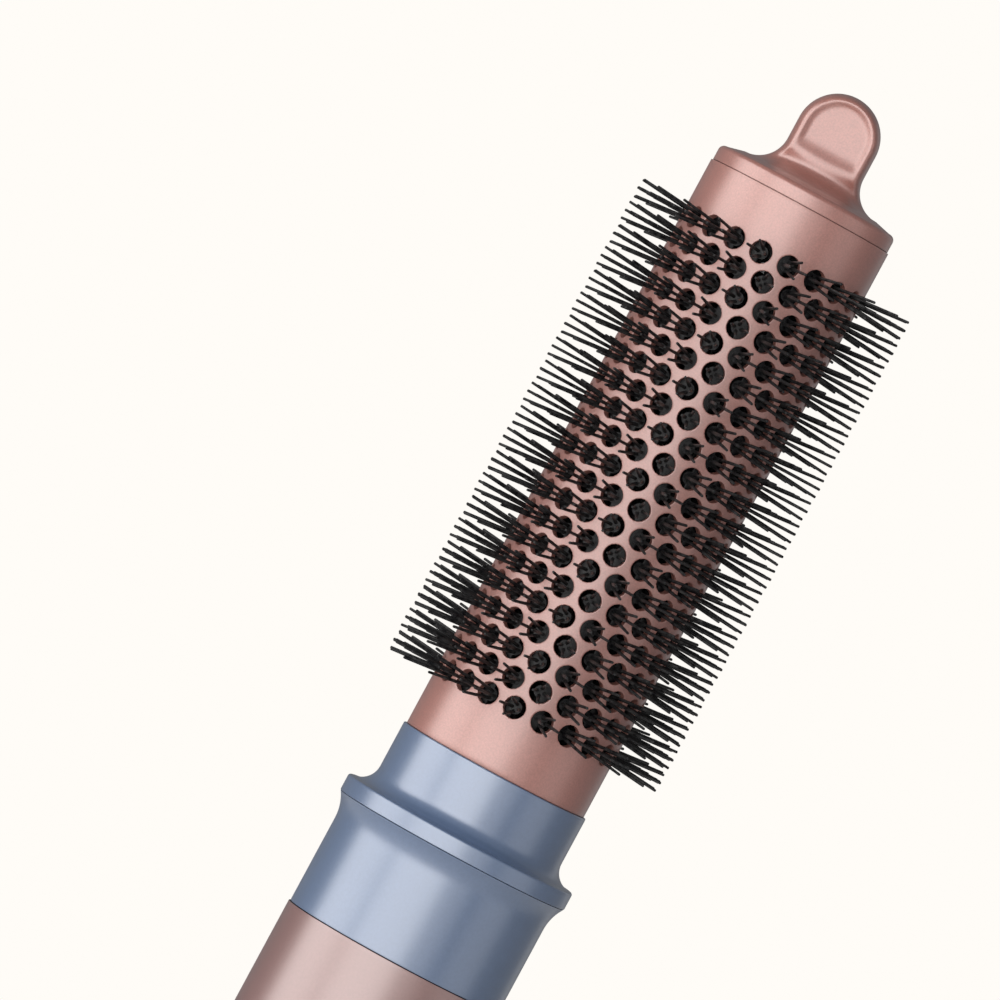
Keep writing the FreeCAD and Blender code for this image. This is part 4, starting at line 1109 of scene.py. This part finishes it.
@dataclass
class FilterEnd(Maker):
    """The slotted cage that covers the air filter, and the cord gland."""

    slots: int = 30
    slot_half_width: float = 0.85
    slot_margin: float = 5.0
    band: float = 1.2
    wall: float = 1.6
    floor_bore: float = 7.2
    edge: float = 0.5
    gland_bore: float = 3.6
    journal: float = 6.0
    ribs: int = 4
    groove: float = 0.7
    clip_gap: float = 0.05
    head_height: float = 1.5
    slot_edge: float = 0.15

    def cage(self) -> None:
        """Builds the cage."""
        cage = Extent.of("filter_cage")
        radius, bottom, edge = cage.radius, cage.bottom, self.edge
        pitch = math.tau * radius / self.slots
        low, high = bottom + self.slot_margin, cage.top - self.slot_margin
        bm = bmesh.new()
        Opening(
            0,
            (low + high) / 2,
            self.slot_half_width,
            (high - low) / 2,
            self.slot_half_width,
            steps_between(-pitch / 2, pitch / 2, 4),
            steps_between(low - self.band, high + self.band, 12),
        ).cut(bm)
        repeat(bm, [(pitch * number, 0) for number in range(self.slots)])
        wrap(bm, radius)
        bmesh.ops.remove_doubles(bm, verts=bm.verts[:], dist=WELD)
        above = [(radius, cage.top - 0.25), (radius - 0.15, cage.top)]
        below = [
            (radius, bottom + edge + 0.3),
            *round_off(radius, bottom, edge, edge, 4),
            (radius - 2.5, bottom),
            (self.floor_bore + 0.3, bottom),
            (self.floor_bore, bottom),
        ]
        climb(bm, rim(bm, lambda place: place.z > high + self.band - WELD), above)
        climb(bm, rim(bm, lambda place: place.z < low - self.band + WELD), below)
        thicken(bm, self.wall)
        outer = sharp_edges(
            bm,
            lambda vert: reach_of(vert.co) > radius - SKIN
            and low - WELD < vert.co.z < high + WELD,
        )
        soften(bm, outer, self.slot_edge)
        node = "filter_cage"
        self.shop.finish(bm, "filter_cage_shell", "cage_blue", node, node)

    def gland(self) -> None:
        """Builds the ribbed cord gland."""
        gland = Extent.of("cord_gland")
        clip = Extent.of("gland_clip")
        head_top = Extent.of("inlet_tube").bottom - 0.15
        corners = [Corner(self.gland_bore, gland.bottom, 0.6)]
        neck = head_top - self.head_height
        pitch = neck / self.ribs
        for number in range(self.ribs):
            low = gland.bottom + number * pitch
            reach = gland.radius - 0.5 * (self.ribs - 1 - number) / self.ribs
            corners += [
                Corner(reach, low, 0.3),
                Corner(reach, low + pitch * 0.66, 0.3),
                Corner(reach - self.groove, low + pitch * 0.70, 0.1),
                Corner(reach - self.groove, low + pitch * 0.96, 0.1),
            ]
        clip_low, clip_high = clip.bottom - self.clip_gap, clip.top + self.clip_gap
        corners += [
            Corner(gland.radius, neck, 0.15),
            Corner(gland.radius, head_top, 0.15),
            Corner(self.journal, head_top),
            Corner(self.journal, clip_low),
            Corner(self.journal - self.groove, clip_low),
            Corner(self.journal - self.groove, clip_high),
            Corner(self.journal, clip_high),
            Corner(self.journal, gland.top, 0.3),
            Corner(self.gland_bore, gland.top, 0.2),
        ]
        bm = lathe(outline(corners), steps=96)
        self.shop.finish(bm, "gland_boot", "rubber_black", "cord_gland", "cord_gland")

    def build(self) -> None:
        """Builds the cage and the gland."""
        self.cage()
        self.gland()


# ---------------------------------------------------------------- lock and collar


@dataclass
class LockRing(Maker):
    """The blue sleeve that turns to lock the head, and the head's collar."""

    bore: float = 17.6
    tooth_bore: float = 15.3
    tooth_low: float = 2.45
    tooth_high: float = 5.45
    slot_radius: float = 17.5
    slot_half_angle: float = 15.0
    bead_low: float = 13.45
    bead_high: float = 15.55
    bead_radius: float = 18.4
    side_radius: float = 19.75
    flare_height: float = 4.5
    flare_curve: float = 8.3
    lip: float = 0.12
    turns: tuple[float, ...] = (0.0, 120.0, 240.0)
    skirt: float = 17.3
    skirt_bead: float = 18.1
    neck_proud: float = 0.45
    flange_height: float = 3.0
    seat_depth: float = 5.75
    seat_bore: float = 16.0
    ledge_bore: float = 14.0
    ledge: float = 1.5
    key_half_width: float = 1.8
    keyway: float = 16.5

    def sleeve(self) -> None:
        """Builds the lock sleeve."""
        ring = Extent.of("lock_sleeve")
        low, top = ring.bottom, ring.top
        tooth = (low + self.tooth_low, low + self.tooth_high)
        bead = (low + self.bead_low, low + self.bead_high)
        flare_reach = max(ring.radius, 21.1)
        flare = hollow_arc(
            (self.side_radius, top - self.flare_height),
            (flare_reach, top - 0.04),
            self.flare_curve,
            14,
        )
        corners = [
            Corner(self.bore, low, 0.1),
            Corner(self.side_radius - 0.6, low),
            Corner(self.side_radius - 0.5, low - self.lip),
            Corner(self.side_radius, low - self.lip, 0.05),
            *flare,
            Corner(flare_reach - 0.04, top),
            Corner(self.bore, top, 0.1),
            Corner(self.bore, bead[1]),
            Corner(self.bead_radius, bead[1]),
            Corner(self.bead_radius, bead[0]),
            Corner(self.bore, bead[0]),
            Corner(self.bore, tooth[1]),
            Corner(self.tooth_bore, tooth[1]),
            Corner(self.tooth_bore, tooth[0]),
            Corner(self.bore, tooth[0]),
        ]
        bm = lathe(outline(corners), steps=180)
        levels = (tooth[0] - ON_FACE, tooth[1] + ON_FACE)
        radii = (self.tooth_bore, self.slot_radius)
        notch(bm, self.turns, self.slot_half_angle + 0.1, levels, radii)
        self.shop.finish(bm, "lock_ring", "collar_blue", "lock_sleeve", "lock_sleeve")

    def collar(self) -> None:
        """Builds the collar and neck of the head."""
        collar = Extent.of("collar_neck")
        seam = Extent.of("lock_sleeve").top + SEAM
        low, top, flange = collar.bottom, collar.top, collar.radius
        neck = Extent.of("brush_barrel").radius + self.neck_proud
        rim_top = seam + self.flange_height
        seat = top - self.seat_depth
        corners = [
            Corner(self.tooth_bore, low),
            Corner(self.skirt, low, 0.3),
            Corner(self.skirt, low + 4.5),
            Corner(self.skirt_bead, low + 4.7, 0.2),
            Corner(self.skirt_bead, low + 5.8, 0.2),
            Corner(self.skirt, low + 6.0),
            Corner(self.skirt, seam),
            Corner(flange, seam, 0.06),
            Corner(flange, rim_top, 0.42),
            Corner(neck, rim_top, 3.5),
            Corner(neck, top, 0.22),
            Corner(self.seat_bore, top, 0.1),
            Corner(self.seat_bore, seat),
            Corner(self.ledge_bore, seat),
            Corner(self.ledge_bore, seat - self.ledge),
            Corner(self.tooth_bore, seat - self.ledge),
        ]
        bm = lathe(outline(corners), steps=180)
        half_angle = math.degrees(math.asin(self.key_half_width / self.seat_bore)) + 0.5
        levels = (low - 0.1, seat - 2.6)
        notch(bm, self.turns, half_angle, levels, (self.tooth_bore, self.keyway))
        self.shop.finish(bm, "head_collar", "collar_blue", "brush", "collar_neck")

    def build(self) -> None:
        """Builds the sleeve and the collar."""
        self.sleeve()
        self.collar()


# ---------------------------------------------------------------- brush head


@dataclass(frozen=True)
class Lattice:
    """How the barrel's holes lie, in pairs of columns that are half a pitch apart."""

    pairs: int = 20
    pitch: float = 8.56
    rows: int = 11
    margin: float = 10.0

    def levels(self) -> Point:
        """The levels of the lowest and the highest hole."""
        highest = Extent.of("brush_barrel").top - self.margin
        return highest - self.pitch * (self.rows - 1), highest

    def pair(self, first: float, second: float) -> list[Point]:
        """Lists a pair's holes.

        Args:
            first: where its full column lies across.
            second: where its column of one hole fewer lies.

        Returns:
            Each hole's place across and its level.
        """
        lowest, _ = self.levels()
        full = [(first, lowest + self.pitch * row) for row in range(self.rows)]
        return full + [
            (second, lowest + self.pitch * (row + 0.5)) for row in range(self.rows - 1)
        ]


LATTICE = Lattice()


@dataclass
class Barrel(Maker):
    """The rose barrel with its lattice of air holes."""

    wall: float = 1.2
    hole: float = 1.93
    hold: float = 2.22
    hole_edge: float = 0.12
    first_long: float = 11.4
    first_short: float = 2.4
    plain: tuple[float, float] = (3.3, 5.5)
    tail_radius: float = 15.9
    segments_per_side: int = 3

    def cell_border(self, half_step: float) -> list[Point]:
        """The six-sided stretch of sheet round one hole.

        Args:
            half_step: distance between two neighbouring columns.

        Returns:
            Its outline, anticlockwise, with each side divided.
        """
        half_pitch = LATTICE.pitch / 2
        square = (half_step**2 + half_pitch**2) / 2
        peak = square / half_pitch
        shoulder = (square - half_step**2) / half_pitch
        corners = [
            (half_step, -shoulder),
            (half_step, shoulder),
            (0, peak),
            (-half_step, shoulder),
            (-half_step, -shoulder),
            (0, -peak),
        ]
        return [
            between(start, end, step / self.segments_per_side)
            for start, end in zip(corners, corners[1:] + corners[:1])
            for step in range(self.segments_per_side)
        ]

    def sheet(self, radius: float) -> Mesh:
        """Lays out every hole in a flat sheet and bends it round.

        Args:
            radius: the barrel's radius.

        Returns:
            The open sheet, with the points of every hole marked.
        """
        bm = bmesh.new()
        half_step = math.pi * radius / LATTICE.pairs
        mark = bm.verts.layers.int.new("hole")
        ring = flat_ring(bm, self.cell_border(half_step))
        for reach in (self.hold, self.hole):
            ring = pull(bm, ring, lambda v, reach=reach: v.co.normalized() * reach)
        for edge in ring:
            for vert in edge.verts:
                vert[mark] = 1
        first, second = math.radians(self.first_long), math.radians(self.first_short)
        repeat(bm, LATTICE.pair(first * radius, second * radius))
        repeat(bm, [(2 * half_step * step, 0) for step in range(LATTICE.pairs)])
        wrap(bm, radius)
        bmesh.ops.remove_doubles(bm, verts=bm.verts[:], dist=WELD)
        return bm

    def build(self) -> None:
        """Builds the barrel."""
        barrel = Extent.of("brush_barrel")
        radius = barrel.radius
        step = Extent.of("collar_neck").top + SEAM
        lowest, highest = LATTICE.levels()
        near, far = self.plain
        below = [
            (radius, lowest - near),
            (radius, lowest - far),
            (radius, step + 1.0),
            (radius, step + 0.06),
            (radius - 0.02, step + 0.02),
            (radius - 0.06, step),
            (self.tail_radius, step),
            (self.tail_radius, step - 0.3),
            (self.tail_radius, barrel.bottom),
        ]
        above = [
            (radius, highest + near),
            (radius, highest + far),
            (radius, barrel.top - 0.6),
            (radius, barrel.top - 0.05),
            (radius - 0.015, barrel.top - 0.015),
            (radius - 0.05, barrel.top),
        ]
        bm = self.sheet(radius)
        mark = bm.verts.layers.int["hole"]
        outer = [
            edge
            for edge in bm.edges
            if edge.is_boundary and not any(vert[mark] for vert in edge.verts)
        ]
        middle = (lowest + highest) / 2
        upper = [edge for edge in outer if edge.verts[0].co.z > middle]
        lower = [edge for edge in outer if edge.verts[0].co.z < middle]
        climb(bm, lower, below)
        climb(bm, upper, above)
        thicken(bm, self.wall)
        mark = bm.verts.layers.int["hole"]
        lips = sharp_edges(
            bm, lambda vert: vert[mark] and reach_of(vert.co) > radius - ON_FACE
        )
        soften(bm, lips, self.hole_edge, 2)
        self.shop.finish(bm, "barrel_shell", "barrel_rose", "brush", "brush_barrel")


@dataclass
class BristleStrip(Maker):
    """A strip of the air core with its two staggered columns of tufts."""

    number: int
    seed: int = 700
    first_turn: float = 6.9
    half_step: float = 4.5
    spine_past: float = 4.6
    spine_back: float = 13.5
    spine_face: float = 15.2
    spine_half: float = 1.15
    post_radius: float = 1.2
    post_face: float = 15.3
    pin_root: float = 14.35
    pin_tip: float = 25.44
    root_spread: float = 0.55
    tip_spread: float = 1.52
    root_radius: float = 0.33
    tip_radius: float = 0.235
    unevenness: float = 0.022

    def pin(self) -> bpy.types.Mesh:
        """One tapered pin with a rounded tip, standing on the origin."""
        reach = math.sqrt(self.pin_tip**2 - self.tip_spread**2) - self.pin_root
        length = math.hypot(reach, self.tip_spread - self.root_spread)
        bm = bmesh.new()
        made = bmesh.ops.create_cone(
            bm,
            cap_ends=True,
            segments=7,
            radius1=self.root_radius,
            radius2=self.tip_radius,
            depth=length,
        )["verts"]
        bmesh.ops.translate(bm, vec=(0, 0, length / 2), verts=made)
        lip = [e for e in bm.edges if all(v.co.z > length / 2 for v in e.verts)]
        soften(bm, lip, self.tip_radius * 0.62, 2)
        mesh = bpy.data.meshes.new("pin")
        bm.to_mesh(mesh)
        bm.free()
        return mesh

    def plant(self, bm: Mesh, pin: bpy.types.Mesh, root: Vector, tip: Vector) -> None:
        """Adds one pin.

        Args:
            bm: the strip's mesh.
            pin: the pin's shape.
            root: where the pin starts.
            tip: where it points.
        """
        known = set(bm.verts)
        bm.from_mesh(pin)
        verts = [vert for vert in bm.verts if vert not in known]
        turn = (tip - root).to_track_quat("Z", "Y").to_matrix()
        bmesh.ops.rotate(bm, cent=(0, 0, 0), matrix=turn, verts=verts)
        bmesh.ops.translate(bm, vec=root, verts=verts)

    def post(self, bm: Mesh, out: Vector, level: float) -> None:
        """Adds the post that carries a tuft.

        Args:
            bm: the strip's mesh.
            out: the direction it stands in.
            level: its level.
        """
        verts = bmesh.ops.create_cone(
            bm,
            cap_ends=True,
            segments=14,
            radius1=self.post_radius,
            radius2=self.post_radius - 0.1,
            depth=self.post_face - self.spine_back,
        )["verts"]
        turn = out.to_track_quat("Z", "Y").to_matrix()
        bmesh.ops.rotate(bm, cent=(0, 0, 0), matrix=turn, verts=verts)
        middle = out * (self.post_face + self.spine_back) / 2
        bmesh.ops.translate(bm, vec=middle + Vector((0, 0, level)), verts=verts)

    def build(self) -> None:
        """Builds the strip with its pins."""
        draw = Random(self.seed + self.number)
        lowest, highest = LATTICE.levels()
        pin = self.pin()
        bm = bmesh.new()
        block(
            bm,
            (-self.spine_half, -self.spine_face, lowest - self.spine_past),
            (self.spine_half, -self.spine_back, highest + self.spine_past),
            0.25,
        )
        up = Vector((0, 0, 1))
        reach = math.sqrt(self.pin_tip**2 - self.tip_spread**2)
        for turn, level in LATTICE.pair(self.half_step, -self.half_step):
            angle = math.radians(turn)
            out = Vector((math.sin(angle), -math.cos(angle), 0))
            side = Vector((math.cos(angle), math.sin(angle), 0))
            self.post(bm, out, level)
            for lean in (up, -up, side, -side):
                slip = Vector(draw.gauss(0, self.unevenness) for _ in range(3))
                slip -= out * slip.dot(out)
                root = out * self.pin_root + up * level + lean * self.root_spread
                tip = out * reach + up * level + lean * self.tip_spread
                self.plant(bm, pin, root, tip + slip)
        turn = math.radians(self.first_turn + 360 / LATTICE.pairs * (self.number - 1))
        matrix = Matrix.Rotation(turn, 3, "Z")
        bmesh.ops.rotate(bm, cent=(0, 0, 0), matrix=matrix, verts=bm.verts[:])
        name, node = f"tufts_{self.number:02d}", f"bristle_strip_{self.number:02d}"
        self.shop.finish(bm, name, "bristle_nylon", "brush", node)


@dataclass
class CoolTip(Maker):
    """The cap at the end, which flares into a flat finger tab."""

    sides: int = 128
    skirt: float = 15.4
    rim_round: float = 1.0
    shoulder: float = 15.6
    tab_half: float = 7.2
    half_depth: float = 4.5
    curve: float = 5.4
    front_curve: float = 3.3
    border: float = 1.35
    dish: float = 0.42
    dish_slope: float = 1.15
    dish_foot: float = 2.8
    ridge: float = 0.28
    rim_height: float = 2.9
    foot: float = field(init=False)
    middle: float = field(init=False)
    dish_low: float = field(init=False)

    def __post_init__(self) -> None:
        """Works out the tab's levels from the CAD cap and barrel."""
        self.foot = Extent.of("brush_barrel").top + SEAM + self.rim_height + 0.7
        self.middle = Extent.of("cool_tip_cap").top - self.tab_half
        self.dish_low = self.foot + self.curve - 0.8

    def half_width(self, level: float) -> float:
        """The tab's half width at a level."""
        if level > self.middle:
            rise = min(self.tab_half, level - self.middle)
            return math.sqrt(max(0.0, self.tab_half**2 - rise**2))
        if level > self.foot + self.curve:
            return self.tab_half
        fall = self.foot + self.curve - level
        return self.tab_half + self.curve - math.sqrt(self.curve**2 - fall**2)

    def depth_at_foot(self, level: float) -> float:
        """Half the depth of the flare at its middle, at a level."""
        share = min(1.0, (level - self.foot) / self.front_curve)
        sweep = self.tab_half + self.curve - self.half_depth
        return self.half_depth + sweep * (1 - math.sqrt(1 - (1 - share) ** 2))

    def plate_depth(self, across: float, level: float) -> float:
        """Half the tab's depth at a place of its outline.

        Args:
            across: distance from the middle.
            level: height of the place.

        Returns:
            Half its depth there, with the soft border and the dish.
        """
        if level > self.middle:
            inside = self.tab_half - math.hypot(across, level - self.middle)
        else:
            inside = self.half_width(level) - abs(across)
        inner = part = min(1.0, max(0.0, inside) / self.border)
        depth = self.half_depth * (1 - (1 - part) ** 2) ** 0.5
        side = (inside - self.border) / self.dish_slope
        below = (level - self.dish_low) / self.dish_foot
        for share in (side, below):
            part *= ease(share)
        swell = math.exp(-(((level - self.dish_low + 0.7) / 1.3) ** 2))
        return depth - self.dish * part + self.ridge * swell * inner

    def place(self, turn: float, level: float) -> Vector:
        """A point of the flare or the tab.

        Args:
            turn: the point's angle on the first ring.
            level: its height.

        Returns:
            Its place.
        """
        across = self.half_width(level) * math.sin(turn)
        share = ease((level - self.foot) / self.curve)
        round_depth = self.depth_at_foot(level) * abs(math.cos(turn))
        depth = (1 - share) * round_depth
        depth += share * self.plate_depth(across, level)
        return Vector((across, -math.copysign(depth, math.cos(turn)), level))

    def levels(self) -> list[float]:
        """The levels of the tab's rings, closer where it curves."""
        curve = [
            self.foot + self.curve * (1 - math.cos(turn))
            for turn in steps_between(0, math.pi / 2, 26)[1:]
        ]
        straight = steps_between(self.foot + self.curve, self.middle, 10)[1:]
        crown, near_edge = self.tab_half, self.tab_half - self.border
        wide = steps_between(0, near_edge - 0.9, 9)[1:]
        near = steps_between(near_edge - 0.9, near_edge, 8)[1:]
        last = [crown - self.border * (1 - step / 14) ** 2 for step in range(1, 14)]
        return curve + straight + [self.middle + rise for rise in wide + near + last]

    def build(self) -> None:
        """Builds the cap."""
        cap, barrel = Extent.of("cool_tip_cap"), Extent.of("brush_barrel")
        seam = barrel.top + SEAM
        radius = barrel.radius - 0.25
        rim_top = seam + self.rim_height
        bm = bmesh.new()
        turn_layer = bm.verts.layers.float.new("turn")
        verts = bmesh.ops.create_circle(
            bm, cap_ends=True, segments=self.sides, radius=self.skirt
        )["verts"]
        for vert in verts:
            vert[turn_layer] = math.atan2(vert.co.x, -vert.co.y)
            vert.co.z = cap.bottom
        rings = [
            (self.skirt, seam - 0.3),
            (self.skirt, seam),
            (radius - 0.05, seam),
            (radius - 0.015, seam + 0.015),
            (radius, seam + 0.05),
            (radius, seam + 0.6),
            *round_off(radius, rim_top, self.rim_round, -self.rim_round, 8),
            (self.shoulder - 0.3, rim_top + 0.03),
            (14.2, rim_top + 0.30),
            (self.tab_half + self.curve, self.foot),
        ]
        edges = climb(bm, edges_of(verts), rings)
        for level in self.levels():
            edges = pull(
                bm, edges, lambda vert, z=level: self.place(vert[turn_layer], z)
            )
        pull(bm, edges, lambda vert: Vector((0, 0, cap.top)))
        bmesh.ops.remove_doubles(bm, verts=bm.verts[:], dist=0.0005)
        bmesh.ops.recalc_face_normals(bm, faces=bm.faces[:])
        self.shop.finish(bm, "tip_cap", "cap_rose", "brush", "cool_tip_cap")


# ---------------------------------------------------------------- studio


@dataclass(frozen=True)
class SoftBox:
    """A tall soft light that faces the brush."""

    name: str
    azimuth: float
    width: float
    height: float
    radiance: float
    distance: float = 1.5
    level: float = 0.30
    aim_level: float = 0.30
    colour: Colour = (1.0, 0.985, 0.965)

    def place(self) -> None:
        """Puts the light in the scene."""
        lamp = bpy.data.lights.new(self.name, "AREA")
        lamp.shape = "RECTANGLE"
        lamp.size, lamp.size_y = self.width, self.height
        lamp.energy = self.radiance * math.pi * self.width * self.height
        lamp.color = self.colour
        light = bpy.data.objects.new(self.name, lamp)
        turn = math.radians(self.azimuth)
        light.location = (
            self.distance * math.sin(turn),
            -self.distance * math.cos(turn),
            self.level,
        )
        aim = Vector((0, 0, self.aim_level)) - light.location
        light.rotation_euler = aim.to_track_quat("-Z", "Y").to_euler()
        light.visible_camera = False
        bpy.context.scene.collection.objects.link(light)
        LOG.info("placed %s", self.name)


@dataclass
class Studio:
    """The floor, the backdrop, the lights and the camera."""

    paper: Colour = (1.0, 0.973, 0.930)
    room: float = 0.20
    room_tint: Colour = (0.97, 0.98, 1.0)
    floor_level: float = -0.0005
    floor_radius: float = 0.85
    floor_lift: float = 0.42
    lens: float = 410.2
    distance: float = 1.9
    azimuth: float = 1.25
    elevation: float = 0.8
    lean: float = 28.39
    aim: tuple[float, float] = (-0.02070, 0.30536)
    lights: tuple[SoftBox, ...] = (
        SoftBox("key_front_left", -18, 1.62, 1.7, 2.85),
        SoftBox("key_side_left", -74, 1.28, 1.7, 2.60),
        SoftBox("key_fall_off", 24, 0.62, 1.7, 0.80),
        SoftBox("fill_right", 68, 1.00, 1.5, 0.54),
        SoftBox("rim_right", 152, 0.35, 1.5, 0.22),
    )

    def world(self) -> None:
        """A pale backdrop that lights the brush less than it shows."""
        world = bpy.data.worlds.new("studio")
        bpy.context.scene.world = world
        world.use_nodes = True
        wiring = Wiring(world.node_tree)
        backdrop = node_of(world.node_tree, "BACKGROUND")
        wiring.feed(backdrop, {"Color": (*self.paper, 1)})
        room = {"Color": (*self.room_tint, 1), "Strength": self.room}
        shades = {
            0: wiring.add("LightPath", {}).outputs["Is Camera Ray"],
            1: wiring.add("Background", room).outputs["Background"],
            2: backdrop.outputs["Background"],
        }
        mixed = wiring.add("MixShader", shades).outputs["Shader"]
        wiring.feed(node_of(world.node_tree, "OUTPUT_WORLD"), {"Surface": mixed})

    def floor(self) -> None:
        """A plain pale floor under the gland."""
        bm = bmesh.new()
        bmesh.ops.create_circle(
            bm, cap_ends=True, segments=96, radius=self.floor_radius
        )
        bmesh.ops.translate(bm, vec=(0, 0, self.floor_level), verts=bm.verts[:])
        mesh = bpy.data.meshes.new("studio_floor")
        bm.to_mesh(mesh)
        bm.free()
        floor = bpy.data.objects.new("studio_floor", mesh)
        material = bpy.data.materials.new("studio_paper")
        material.use_nodes = True
        wiring = Wiring(material.node_tree)
        seen = wiring.add("LightPath", {}).outputs["Is Camera Ray"]
        looks = {
            "Base Color": (*self.paper, 1),
            "Roughness": 0.9,
            "Emission Color": (*self.paper, 1),
            "Emission Strength": wiring.maths("MULTIPLY", seen, self.floor_lift),
        }
        wiring.feed(node_of(material.node_tree, "BSDF_PRINCIPLED"), looks)
        mesh.materials.append(material)
        bpy.context.scene.collection.objects.link(floor)

    def camera(self) -> None:
        """The camera, rolled so that the brush leans to the right."""
        data = bpy.data.cameras.new("studio_camera")
        data.lens = self.lens
        data.sensor_width = 36
        data.clip_start = 0.05
        camera = bpy.data.objects.new("studio_camera", data)
        turn = math.radians(self.azimuth)
        rise = math.radians(self.elevation)
        roll = math.radians(self.lean)
        right = Vector((math.cos(turn), math.sin(turn), 0))
        out = Vector((math.sin(turn), -math.cos(turn), 0))
        back = out * math.cos(rise) + Vector((0, 0, math.sin(rise)))
        up = back.cross(right)
        up_rolled = up * math.cos(roll) - right * math.sin(roll)
        right_rolled = right * math.cos(roll) + up * math.sin(roll)
        place = right * self.aim[0] + Vector((0, 0, self.aim[1]))
        place += back * self.distance
        axes = Matrix((right_rolled, up_rolled, back)).transposed()
        camera.matrix_world = Matrix.Translation(place) @ axes.to_4x4()
        bpy.context.scene.collection.objects.link(camera)
        bpy.context.scene.camera = camera

    def build(self) -> None:
        """Sets up the studio."""
        scene = bpy.context.scene
        scene.view_settings.view_transform = "Standard"
        self.world()
        self.floor()
        for light in self.lights:
            light.place()
        self.camera()


def main() -> None:
    """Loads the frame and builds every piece."""
    logging.basicConfig(level=logging.INFO, format="%(name)s: %(message)s")
    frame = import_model()
    shop = PaintShop()
    shop.build_groups()
    shop.dress_frame(frame["nodes"], frame["record"])
    for maker in (HandleSleeve, ControlPanel, FilterEnd, LockRing, Barrel):
        maker(shop).build()
    for number in range(1, LATTICE.pairs + 1):
        BristleStrip(shop, number).build()
    CoolTip(shop).build()
    Studio().build()


if __name__ == "__main__":
    main()
